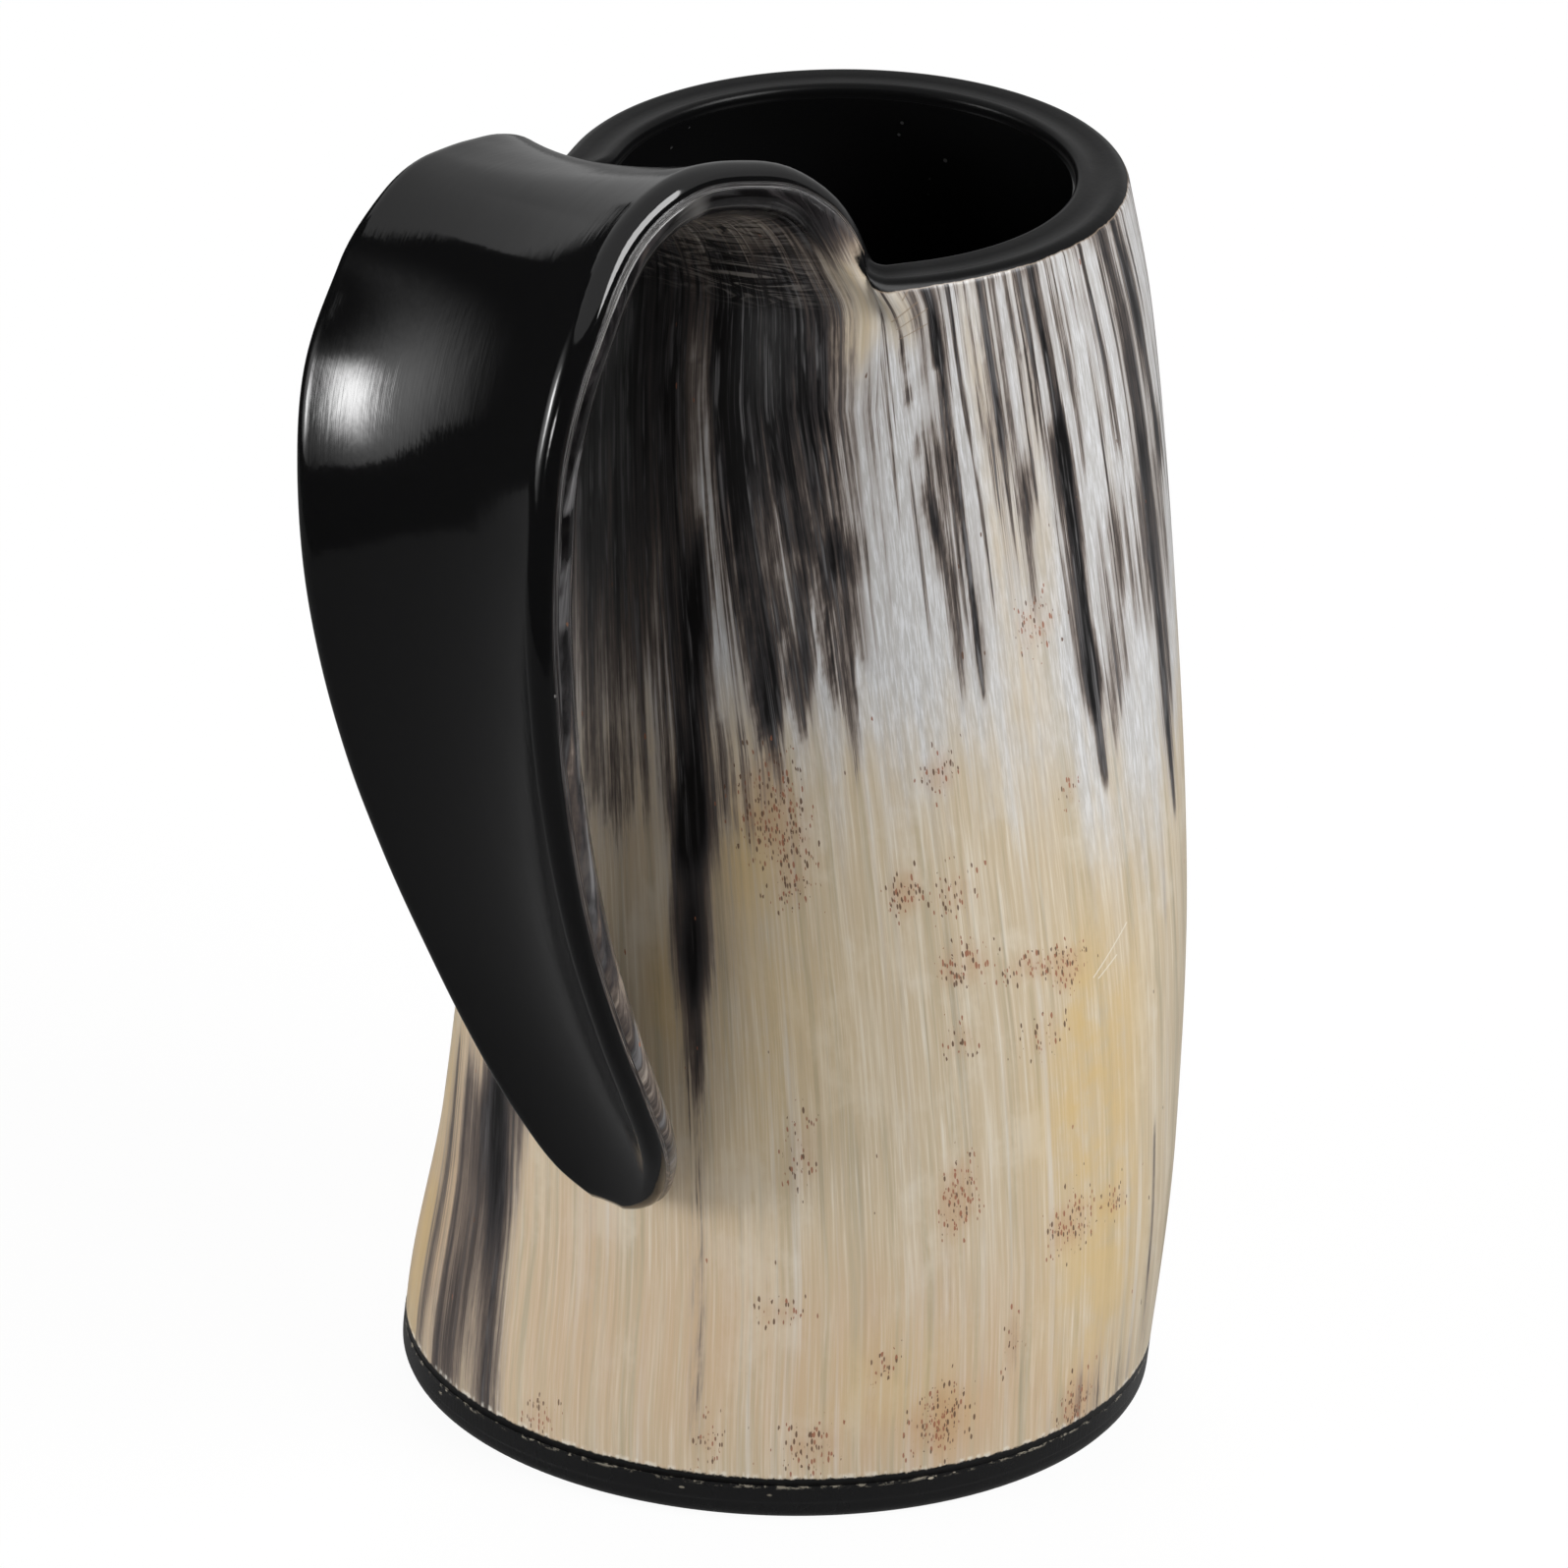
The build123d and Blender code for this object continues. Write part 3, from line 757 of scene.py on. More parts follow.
        # Rim grid, round the back from one side of the strap to the other
        reach = 2 * math.pi - 2 * self.root_bearing
        beyond_steps = steps / self.root_radius
        turn_over = beyond_steps[-1] + (reach - 2 * beyond_steps[-1]) * self.front_share
        front = np.linspace(beyond_steps[-1], turn_over, self.front_columns + 1)
        inner = np.concatenate([front, np.linspace(turn_over, reach - beyond_steps[-1], self.back_columns + 1)[1:]])
        offsets = np.concatenate([beyond_steps, inner[1:-1], reach - beyond_steps[::-1]])
        beyond = np.minimum(offsets, reach - offsets) * self.root_radius
        rim = self._rim_line(beyond)
        rim_height = self.base + rows[:, None] * (rim - self.base)
        rim_bearing = np.broadcast_to(self.root_bearing + offsets, rim_height.shape)
        middle_b, normal_b, half_b = wall.sheet(rim_bearing, rim_height)
        count = self.rim_rows + 1
        near = (offsets < reach / 2)[None, :, None]
        fall = np.exp(-((beyond / self.flare_reach) ** 2))[None, :]
        shift, turn = ((bent - plain)[:count] for bent, plain in ((middle, wall_middle), (normal, wall_normal)))
        middle_b = middle_b + np.where(near, shift[:, -1:], shift[:, :1]) * fall[..., None]
        normal_b = unit(normal_b + np.where(near, turn[:, -1:], turn[:, :1]) * fall[..., None])
        half_b = half_b + (half[:count, -1:] - wall_half[:count, -1:]) * fall
        edge_b = self._corner_distance(np.broadcast_to(beyond, rim_height.shape), rim_height)
        strap_like = np.exp(-beyond / 2.2)[None, :]
        plain = {Side.OUTER: wall.rim_outer_round, Side.INNER: wall.rim_inner_round}
        strap_round = self.edge_round_share * half_b * strap_like
        rounds_b = {side: size * (1 - strap_like) + strap_round for side, size in plain.items()}
        faces_b = self._faces(middle_b, normal_b, half_b, edge_b, rounds_b)
        rim_degrees = np.degrees(rim_bearing)
        rim_grid = {
            side: Sheet(faces_b[side], rim_degrees, rim_height, np.full_like(rim_height, side.value), edge_b)
            for side in Side
        }

        # Ring below the strap's root, from the base disc up
        ring_bearing = np.concatenate([spread * self.root_bearing, self.root_bearing + offsets[1:]])
        skin = Skin()
        for side, count_rows in ((Side.OUTER, self.wall_rows), (Side.INNER, self.bore_rows)):
            ring_height = np.linspace(wall.band_height, self.base, count_rows + 1)
            grid_bearing, grid_height = np.meshgrid(ring_bearing, ring_height)
            points = wall.point(grid_bearing, grid_height, 0.0 if side is Side.OUTER else 1.0)
            # The last column closes on the first
            points[:, -1] = points[:, 0]
            depth = np.full_like(grid_height, side.value)
            skin.add(Sheet(points, np.degrees(grid_bearing), grid_height, depth, wall.rim_height - grid_height))
        rings = dict(zip(Side, skin.grids))
        for side in Side:
            skin.add(rim_grid[side])
            skin.add(strap[side])

        # Strips that close the edge from the outer to the inner face: round the rim and round the strap, and the foot
        def loop(side: Side) -> list[Array]:
            """Points and places along the whole upper edge of one face."""
            parts = (
                rim_grid[side].part(slice(-1, None), slice(None)),
                strap[side].part(slice(count - 1, None), slice(0, 1)),
                strap[side].part(slice(-1, None), slice(None)),
                strap[side].part(slice(None, count - 2, -1), slice(-1, None)),
            )
            return [
                np.concatenate([getattr(p, name).reshape(-1, *getattr(p, name).shape[2:]) for p in parts])
                for name in ("points", "bearing", "height", "edge")
            ]

        outer, inner_edge = loop(Side.OUTER), loop(Side.INNER)
        self._strip(skin, outer, inner_edge, bulge=0.12)
        foot = [[getattr(rings[s], name)[0] for name in ("points", "bearing", "height", "edge")] for s in Side]
        self._strip(skin, foot[0], foot[1], bulge=0.0)
        return skin

    def _strip(self, skin: Skin, outer: list[Array], inner: list[Array], bulge: float) -> None:
        """Adds a strip between two edges of the sheet, bowed outwards by a share of its own width."""
        ways = np.array([0.0, 0.25, 0.5, 0.75, 1.0])[:, None]
        flat = outer[0][None] * (1 - ways[..., None]) + inner[0][None] * ways[..., None]
        if bulge:
            along = np.roll(outer[0], -1, 0) - np.roll(outer[0], 1, 0)
            through = inner[0] - outer[0]
            out = np.cross(through, along)
            size = np.linalg.norm(out, axis=-1, keepdims=True)
            out = np.where(size > 1e-9, out / np.maximum(size, 1e-9), 0.0)
            lift = bulge * np.linalg.norm(through, axis=-1)[None] * 4 * ways * (1 - ways)
            flat = flat + out[None] * lift[..., None]
        spans = [outer[k][None] * (1 - ways) + inner[k][None] * ways for k in (1, 2, 3)]
        depth = np.broadcast_to(1.0 - 2.0 * ways, spans[0].shape)
        skin.add(Sheet(flat, spans[0], spans[1], depth, np.zeros_like(spans[2])))

    def values(self, places: dict[str, Array], half: float = 3.0) -> dict[Mask, Array]:
        """Works out what the finish needs at each point of the skin.

        Args:
            places: Bearing, height, depth and distance to the edge of each point.
            half: Half the horn's thickness, which sets the layers seen on its cut edges.

        Returns:
            One array for each mask; fibre and place have three columns.
        """
        bearing, height, depth, edge = (places[name] for name in ("bearing", "height", "depth", "edge"))
        rim = self.wall.rim_height
        fibre = np.radians(self.pattern.fibre_bearing(bearing, height))
        radius = self.unrolled_radius + half * depth
        result = self.pattern.masks(bearing, np.minimum(height, rim))
        result[Mask.FIBRE] = np.stack([radius * np.cos(fibre), radius * np.sin(fibre), height], -1)
        result[Mask.PLACE] = np.stack([fibre * self.unrolled_radius, height, depth], -1)
        turned = np.abs(bearing) < np.degrees(self.root_bearing) + 1.0
        strap = np.where(turned, smooth_step(rim - 2.0, rim + 8.0, height), 0.0)
        trough = 1 - smooth_step(-0.50, 0.05, depth)
        flank = (1 - smooth_step(2.2, 5.0, edge)) * smooth_step(0.0, 8.0, bearing)
        corner = smooth_step(28.0, 40.0, bearing) * (1 - smooth_step(rim - 1.0, rim + 8.0, height))
        tail = smooth_step(rim + 40.0, rim + 100.0, height)
        bend = 1 - smooth_step(rim + 8.0, rim + 16.0, height)
        outside = (0.95 - 0.42 * bend) * (1 - flank) + (1.20 - 0.46 * tail) * flank
        outside = outside * (1 - corner)
        own = trough * 1.5 + (1 - trough) * outside
        result[Mask.PIGMENT] = result[Mask.PIGMENT] * (1 - strap) + own * strap
        for mask in (Mask.AMBER, Mask.ROSY, Mask.FLECK, Mask.STRANDS):
            result[mask] = result[mask] * (1 - strap)
        result[Mask.PALE] = result[Mask.PALE] * (1 - strap) + 0.45 * strap * (1 - corner)
        result[Mask.STRAP] = strap * trough
        result[Mask.LAYER] = strap * (1 - trough) * (1 - smooth_step(1.5, 3.5, edge)) * (1 - 0.45 * tail)
        inner = 1 - smooth_step(-0.92, -0.2, depth)
        rim_top = (1 - smooth_step(0.3, 1.1, edge)) * smooth_step(rim - 3.0, rim - 0.5, height)
        result[Mask.COAT] = np.clip(np.maximum(inner, rim_top * (1 - strap)), 0.0, 1.0)
        result[Mask.WORN] = 0.75 * (1 - strap)
        # Where the creases lie: the finish paints shade in their lines and a highlight on their ridges, besides bumping
        # them
        crease = smooth_step(rim - 4.0, rim + 1.0, height) * (1 - smooth_step(rim + 8.0, rim + 15.0, height))
        result[Mask.CREASE] = np.where(turned & (depth > 0), crease * (1 - smooth_step(26.0, 40.0, bearing)), 0.0)
        return result

    def dress(self, finish: "HornFinish") -> bpy.types.Object:
        """Makes the horn's object, with its values and its finish, in place of the solid's mesh."""
        points, faces, places = self.build().weld()
        piece = mesh_object("horn_skin", points * MM, faces)
        for mask, value in self.values(places).items():
            add_values(piece.data, mask, value)
        piece.data.materials.append(finish.material())
        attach(piece, "root")
        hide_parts("horn_cup")
        log.info("horn_skin: %d points, %d faces", len(points), len(faces))
        return piece


def mesh_object(name: str, points: Array, faces: Array) -> bpy.types.Object:
    """Makes a smooth mesh object from points in metres and four-sided faces, with its faces turned outwards."""
    mesh = bpy.data.meshes.new(name)
    folded = (faces == np.roll(faces, 1, 1)).any(1)
    corners = faces[~folded].tolist() + [list(dict.fromkeys(face)) for face in faces[folded].tolist()]
    mesh.from_pydata(points.tolist(), [], corners)
    shape = bmesh.new()
    shape.from_mesh(mesh)
    bmesh.ops.recalc_face_normals(shape, faces=shape.faces)
    shape.to_mesh(mesh)
    shape.free()
    mesh.polygons.foreach_set("use_smooth", np.ones(len(mesh.polygons), bool))
    mesh.update()
    piece = bpy.data.objects.new(name, mesh)
    bpy.context.scene.collection.objects.link(piece)
    return piece


def add_values(mesh: bpy.types.Mesh, mask: Mask, value: Array) -> None:
    """Stores one value or one vector for each point of a mesh under the mask's name."""
    kind, name = ("FLOAT_VECTOR", "vector") if value.ndim == 2 else ("FLOAT", "value")
    mesh.attributes.new(mask.value, kind, "POINT").data.foreach_set(name, value.astype(np.float32).ravel())


class Wire:
    """Value on its way between shader nodes; arithmetic on it places the nodes that do it."""

    def __init__(self, nodes: "Nodes", socket: bpy.types.NodeSocket) -> None:
        """Keeps the socket and the nodes that it belongs to."""
        self.nodes, self.socket = nodes, socket

    def __add__(self, other: "Wire | float") -> "Wire":
        """Sum."""
        return self.nodes.math("ADD", self, other)

    def __sub__(self, other: "Wire | float") -> "Wire":
        """Difference."""
        return self.nodes.math("SUBTRACT", self, other)

    def __rsub__(self, other: float) -> "Wire":
        """Difference from a number."""
        return self.nodes.math("SUBTRACT", other, self)

    def __mul__(self, other: "Wire | float") -> "Wire":
        """Product."""
        return self.nodes.math("MULTIPLY", self, other)

    def __truediv__(self, other: "Wire | float") -> "Wire":
        """Quotient."""
        return self.nodes.math("DIVIDE", self, other)

    __radd__, __rmul__ = __add__, __mul__


@dataclass(frozen=True)
class Mark:
    """Thin straight mark between two points of the unrolled wall, and half its width."""

    start: tuple[float, float]
    end: tuple[float, float]
    half: float = 0.12


class Nodes:
    """Short way to place and join shader nodes in one tree."""

    measures = ("DOT_PRODUCT", "DISTANCE", "LENGTH")

    def __init__(self, tree: bpy.types.NodeTree) -> None:
        """Keeps the tree that the nodes go into."""
        self.tree = tree

    def fill(self, node: bpy.types.Node, inputs: dict) -> None:
        """Joins a wire to each input named or numbered, or sets the input's own value."""
        for name, value in inputs.items():
            if isinstance(value, Wire):
                self.tree.links.new(value.socket, node.inputs[name])
            else:
                node.inputs[name].default_value = value

    def add(self, kind: str, inputs: dict | None = None, **settings: object) -> bpy.types.Node:
        """Places a node, sets its options and joins or fills its inputs.

        Args:
            kind: Blender's name of the node type.
            inputs: Input name or number to a wire or a value.
            settings: Options of the node.

        Returns:
            The node.
        """
        node = self.tree.nodes.new(kind)
        row, column = divmod(len(self.tree.nodes), 9)
        node.location = (column * 190, -row * 260)
        for name, value in settings.items():
            setattr(node, name, value)
        self.fill(node, inputs or {})
        return node

    def outputs(self, node: bpy.types.Node, *names: int | str) -> list[Wire]:
        """Wires from some outputs of a node."""
        return [Wire(self, node.outputs[name]) for name in names]

    def get(self, output: int | str, kind: str, inputs: dict | None = None, **settings: object) -> Wire:
        """Places a node and returns one of its outputs."""
        return self.outputs(self.add(kind, inputs, **settings), output)[0]

    def math(
        self, operation: str, first: object, second: object = 0.0, third: object = 0.0, clamp: bool = False
    ) -> Wire:
        """One step of arithmetic on wires or numbers."""
        return self.get(0, "ShaderNodeMath", {0: first, 1: second, 2: third}, operation=operation, use_clamp=clamp)

    def vector(self, operation: str, first: object, second: object = (0.0, 0.0, 0.0)) -> Wire:
        """One step of arithmetic on vectors; a measure comes out as one number."""
        output = "Value" if operation in self.measures else "Vector"
        return self.get(output, "ShaderNodeVectorMath", {0: first, 1: second}, operation=operation)

    def scaled(self, vector: object, size: Wire) -> Wire:
        """Vector times a number."""
        return self.get(0, "ShaderNodeVectorMath", {0: vector, "Scale": size}, operation="SCALE")

    def mix(self, share: object, first: object, second: object) -> Wire:
        """Mixes two colours by a share."""
        full = [(*colour, 1.0) if isinstance(colour, tuple) else colour for colour in (first, second)]
        return self.get(2, "ShaderNodeMix", {0: share, 6: full[0], 7: full[1]}, data_type="RGBA")

    def blend(self, share: object, first: object, second: object) -> Wire:
        """Goes from the first number to the second by a share."""
        return self.math("MULTIPLY_ADD", self.math("SUBTRACT", second, first), share, first)

    def step(self, low: float, high: float, value: object) -> Wire:
        """Rises smoothly from 0 at low to 1 at high."""
        inputs = {"Value": value, "From Min": low, "From Max": high}
        return self.get(0, "ShaderNodeMapRange", inputs, interpolation_type="SMOOTHSTEP")

    def noise(
        self,
        place: Wire,
        scale: float | tuple[float, float, float],
        detail: float = 3.0,
        roughness: float = 0.55,
        distortion: float = 0.0,
    ) -> Wire:
        """Cloudy noise from 0 to 1; three scales draw it out along the axes."""
        if isinstance(scale, tuple):
            place, scale = self.vector("MULTIPLY", place, scale), 1.0
        inputs = {"Vector": place, "Scale": scale, "Detail": detail, "Roughness": roughness, "Distortion": distortion}
        return self.get(0, "ShaderNodeTexNoise", inputs)

    def bump(self, height: Wire, strength: float, distance: float) -> Wire:
        """Shading relief from a height."""
        return self.get(0, "ShaderNodeBump", {"Height": height, "Strength": strength, "Distance": distance})

    def mark(self, place: Wire, mark: Mark) -> Wire:
        """Draws a mark.

        A point's share along the mark is held between 0 and 1; its distance to the mark there sets the value.
        """
        run = (mark.end[0] - mark.start[0], mark.end[1] - mark.start[1], 0.0)
        flat = self.vector("MULTIPLY", place, (1.0, 1.0, 0.0))
        offset = self.vector("SUBTRACT", flat, (*mark.start, 0.0))
        share = self.math("DIVIDE", self.vector("DOT_PRODUCT", offset, run), run[0] ** 2 + run[1] ** 2, clamp=True)
        return self.step(mark.half, 0.3 * mark.half, self.vector("DISTANCE", offset, self.scaled(run, share)))

    def value(self, mask: Mask) -> Wire:
        """Number stored at the points of the skin."""
        return self.get("Fac", "ShaderNodeAttribute", attribute_name=mask.value)

    def place(self, mask: Mask) -> Wire:
        """Vector stored at the points of the skin."""
        return self.get("Vector", "ShaderNodeAttribute", attribute_name=mask.value)

    def millimetres(self) -> Wire:
        """Place on the object in millimetres."""
        return self.vector("MULTIPLY", self.get("Object", "ShaderNodeTexCoord"), (1000.0, 1000.0, 1000.0))


class Effect:
    """Node group with named sockets: inputs with their values at rest, and outputs that are numbers."""

    def __init__(self, name: str, inputs: dict[str, object], *outputs: str) -> None:
        """Makes the group's sockets and its two end nodes."""
        tree = bpy.data.node_groups.new(name, "ShaderNodeTree")
        for label, value in inputs.items():
            kind = "NodeSocketVector" if isinstance(value, tuple) else "NodeSocketFloat"
            tree.interface.new_socket(label, in_out="INPUT", socket_type=kind).default_value = value
        for label in outputs:
            tree.interface.new_socket(label, in_out="OUTPUT", socket_type="NodeSocketFloat")
        self.names = outputs
        self.nodes = Nodes(tree)
        self.inputs = dict(zip(inputs, self.nodes.outputs(self.nodes.add("NodeGroupInput"), *inputs)))
        self.end = self.nodes.add("NodeGroupOutput")

    def give(self, **outputs: Wire) -> "Effect":
        """Joins the outputs and returns the finished group."""
        self.nodes.fill(self.end, outputs)
        return self

    def use(self, nodes: Nodes, **inputs: object) -> list[Wire]:
        """Places the group in another tree and returns its outputs."""
        node = nodes.add("ShaderNodeGroup", inputs, node_tree=self.nodes.tree)
        return nodes.outputs(node, *self.names)


class SharedEffects:
    """Node groups that more than one finish uses, each built once."""

    @cached_property
    def fibres(self) -> Effect:
        """Long thin fibres: noise on a place whose third axis is squeezed, so that it is drawn out along it."""
        inputs = {"Place": (0.0, 0.0, 0.0), "Across": 1.0, "Along": 0.05, "Waver": 0.4}
        effect = Effect("fibres", inputs, "Fine", "Broad")
        nodes, start = effect.nodes, effect.inputs
        squeeze = nodes.get(0, "ShaderNodeCombineXYZ", {0: start["Across"], 1: start["Across"], 2: start["Along"]})
        slow = nodes.vector("MULTIPLY", start["Place"], (0.05, 0.05, 0.02))
        drift = nodes.get("Color", "ShaderNodeTexNoise", {"Vector": slow, "Scale": 1.0, "Detail": 2.0})
        pushed = nodes.scaled(nodes.vector("SUBTRACT", drift, (0.5, 0.5, 0.5)), start["Waver"])
        bent = nodes.vector("ADD", nodes.vector("MULTIPLY", start["Place"], squeeze), pushed)
        return effect.give(Fine=nodes.noise(bent, 1.0, 4.0, 0.62), Broad=nodes.noise(bent, (0.3, 0.3, 0.42), 3.0, 0.5))

    @cached_property
    def flecks(self) -> Effect:
        """Scattered short dashes: cells of a stretched pattern, kept near their middle and as often as the chance."""
        inputs = {"Place": (0.0, 0.0, 0.0), "Stretch": (1.0, 1.0, 1.0), "Size": 0.3, "Chance": 0.5}
        effect = Effect("flecks", inputs, "Mask", "Pick")
        nodes, start = effect.nodes, effect.inputs
        place = nodes.vector("MULTIPLY", start["Place"], start["Stretch"])
        cells = nodes.add("ShaderNodeTexVoronoi", {"Vector": place, "Scale": 1.0}, feature="F1")
        distance, colour = nodes.outputs(cells, "Distance", "Color")
        kept, grown, pick = nodes.outputs(nodes.add("ShaderNodeSeparateColor", {0: colour}), 0, 1, 2)
        kept = nodes.math("LESS_THAN", kept, start["Chance"])
        spot = nodes.math("SUBTRACT", 1.0, distance / (start["Size"] * (grown + 0.45)), clamp=True)
        return effect.give(Mask=nodes.step(0.0, 0.30, spot) * kept, Pick=pick)

    @cached_property
    def polish(self) -> Effect:
        """Traces of polishing: cloudy smears for the gloss and fine scuffs for the relief."""
        inputs = {"Place": (0.0, 0.0, 0.0), "Smear": 0.1, "Gloss": 0.2}
        effect = Effect("polish", inputs, "Roughness", "Height")
        nodes, start = effect.nodes, effect.inputs
        spread = (nodes.noise(start["Place"], (0.11, 0.11, 0.06), 4.0, 0.6) - 0.5) * start["Smear"]
        scuffs = nodes.noise(start["Place"], (2.2, 2.2, 0.5), 3.0, 0.6)
        return effect.give(Roughness=nodes.math("ADD", start["Gloss"], spread, clamp=True), Height=scuffs)


EFFECTS = SharedEffects()


def new_material(name: str) -> tuple[bpy.types.Material, Nodes, bpy.types.Node]:
    """Starts a node material with one Principled shader.

    Returns:
        The material, its nodes and the shader.
    """
    material = bpy.data.materials.new(name)
    nodes = bare_nodes(material)
    shader = nodes.add("ShaderNodeBsdfPrincipled")
    nodes.add("ShaderNodeOutputMaterial", {"Surface": nodes.outputs(shader, 0)[0]})
    return material, nodes, shader


def bare_nodes(holder: bpy.types.ID) -> Nodes:
    """Turns on the shader nodes of a material, a lamp or a world, and empties them."""
    holder.use_nodes = True
    holder.node_tree.nodes.clear()
    return Nodes(holder.node_tree)


class HornFields:
    """Noises and stored values that the parts of the horn's finish share."""

    def __init__(self, nodes: Nodes) -> None:
        """Places the noises, each drawn out along the fibres by its own amount."""
        self.nodes = nodes
        self.place, self.fibre = nodes.place(Mask.PLACE), nodes.place(Mask.FIBRE)
        self.strap, self.layer = nodes.value(Mask.STRAP), nodes.value(Mask.LAYER)
        self.wall = 1.0 - self.strap
        self.fine = self.fibres(2.6, 0.055, 1.4)[0]
        self.wispy, self.cloud = self.fibres(4.6, 0.34, 2.0)
        self.bands, self.lines = self.fibres(0.55, 0.014, 0.8)[0], self.fibres(0.80, 0.007, 0.6)[0]
        self.threads = self.fibres(1.9, 0.018, 0.5)[0]
        self.blot = nodes.noise(self.fibre, (0.16, 0.16, 0.10), 4.0, 0.6)
        # Lines of the cut layers run with the strap's edge: noise on the depth and the run alone
        self.height, depth = nodes.outputs(nodes.add("ShaderNodeSeparateXYZ", {0: self.place}), 1, 2)
        layers = nodes.get(0, "ShaderNodeCombineXYZ", {0: depth * 3.0, 2: self.height})
        self.hairs = self.fibres(3.4, 0.03, 0.25, layers)[0]

    def fibres(self, across: float, along: float, waver: float, place: Wire | None = None) -> list[Wire]:
        """Fine and broad fibres, along the horn's own ones where no place is given."""
        return EFFECTS.fibres.use(self.nodes, Place=place or self.fibre, Across=across, Along=along, Waver=waver)


@dataclass(frozen=True)
class HornFinish:
    """Polished horn: cream below, bluish white above, with dark ragged streaks, brown flecks and a black strap."""

    cream: Colour = (0.585, 0.475, 0.325)
    cream_light: Colour = (0.720, 0.640, 0.510)
    cream_dark: Colour = (0.430, 0.365, 0.245)
    moss: Colour = (0.300, 0.270, 0.195)
    amber: Colour = (0.640, 0.455, 0.200)
    rosy: Colour = (0.600, 0.405, 0.245)
    pale: Colour = (0.500, 0.490, 0.475)
    pale_light: Colour = (0.720, 0.725, 0.740)
    film: Colour = (0.250, 0.203, 0.170)
    brown: Colour = (0.100, 0.078, 0.066)
    charcoal: Colour = (0.030, 0.027, 0.028)
    black: Colour = (0.0038, 0.0034, 0.0036)
    fleck: Colour = (0.125, 0.060, 0.032)
    fleck_light: Colour = (0.330, 0.120, 0.062)
    blush: Colour = (0.480, 0.285, 0.160)
    hair: Colour = (0.360, 0.345, 0.330)
    # Grey of the strands over dark areas, partly a painted sheen
    strands_and_sheen: Colour = (0.190, 0.185, 0.188)
    undertone: Colour = (0.015, 0.0108, 0.0090)
    # Light grey painted as the highlight on the crease ridges under the strap's bend
    ridge_highlight: Colour = (0.240, 0.220, 0.200)
    scratch: Colour = (0.800, 0.760, 0.670)
    scrape: Colour = (0.260, 0.190, 0.130)
    coat: Colour = (0.0040, 0.0040, 0.0042)
    gloss: float = 0.32
    strap_gloss: float = 0.07
    coat_gloss: float = 0.30
    coat_specular: float = 0.12
    scratches: tuple[Mark, ...] = (Mark((49.0, 63.6), (54.0, 68.3)), Mark((49.6, 63.2), (52.2, 65.0)))
    scrapes: tuple[Mark, ...] = (
        Mark((35.6, 146.2), (38.8, 147.9)),
        Mark((35.9, 145.2), (39.6, 147.0), 0.10),
        Mark((36.0, 144.0), (39.3, 145.3), 0.10),
        Mark((37.6, 148.4), (38.6, 149.4), 0.10),
    )

    def _body(self, nodes: Nodes, at: HornFields) -> Wire:
        """Cream with lighter and darker fibres and amber and rosy patches, and bluish white above."""
        uneven = nodes.step(0.34, 0.66, nodes.noise(at.fibre, (0.09, 0.09, 0.03), 3.0, 0.6))
        cream = nodes.mix(nodes.step(0.42, 0.72, at.fine), self.cream, self.cream_light)
        for share, colour in (
            (nodes.step(0.50, 0.30, at.bands) * 0.75, self.cream_dark),
            (nodes.step(0.50, 0.70, at.blot) * 0.55, self.cream_light),
            (nodes.step(0.44, 0.28, at.lines) * nodes.blend(uneven, 0.12, 0.62), self.moss),
            (nodes.step(0.28, 0.62, at.bands) * nodes.value(Mask.ROSY) * 0.9, self.rosy),
            (nodes.step(0.25, 0.60, at.blot) * nodes.value(Mask.AMBER) * 0.9, self.amber),
        ):
            cream = nodes.mix(share, cream, colour)
        # Bluish white over the cream: the horn's pale top, and round bearing 100 partly a painted reflection
        pale = nodes.mix(nodes.step(0.38, 0.68, at.wispy), self.pale, self.pale_light)
        lift = (at.bands - 0.5) * 1.1 + (at.blot - 0.5) * 0.6
        body = nodes.mix(nodes.step(0.05, 0.95, nodes.value(Mask.PALE) + lift), cream, pale)
        body = nodes.mix(nodes.step(0.60, 0.78, at.fine) * 0.22, body, self.pale_light)
        body = nodes.mix(nodes.step(0.54, 0.74, at.lines) * nodes.blend(uneven, 0.46, 0.18), body, self.pale_light)
        return nodes.mix(nodes.step(0.40, 0.28, at.fine) * 0.16, body, self.film)

    def _streaks(self, nodes: Nodes, at: HornFields, body: Wire) -> Wire:
        """Dark streaks and patches: their soft field is broken up by the fibres, so that streaks end ragged. A little
        of the field is painted shade, and grey strands in cloudy patches on the dark are partly grey hairlines and
        partly a painted sheen.
        """
        strands = nodes.step(0.50, 0.74, at.fibres(0.95, 0.018, 0.7)[0]) * nodes.value(Mask.STRANDS)
        # The dark field holds a little painted shade besides the horn's own dark colour
        pigment = strands * 0.85 + nodes.value(Mask.PIGMENT)
        noises = ((at.fine, 0.9), (at.threads, 1.7), (at.wispy, 0.7), (at.lines, 1.2), (at.blot, 0.5))
        ragged = sum((noise - 0.5) * share for noise, share in noises)
        held = nodes.step(0.02, 0.40, pigment) * at.wall * nodes.value(Mask.RAGGED)
        depth = pigment + ragged * held
        body = nodes.mix(nodes.step(0.06, 0.50, depth) * 0.80, body, self.film)
        for low, high, colour in ((0.28, 0.72, self.brown), (0.52, 0.98, self.charcoal), (0.85, 1.30, self.black)):
            body = nodes.mix(nodes.step(low, high, depth), body, colour)
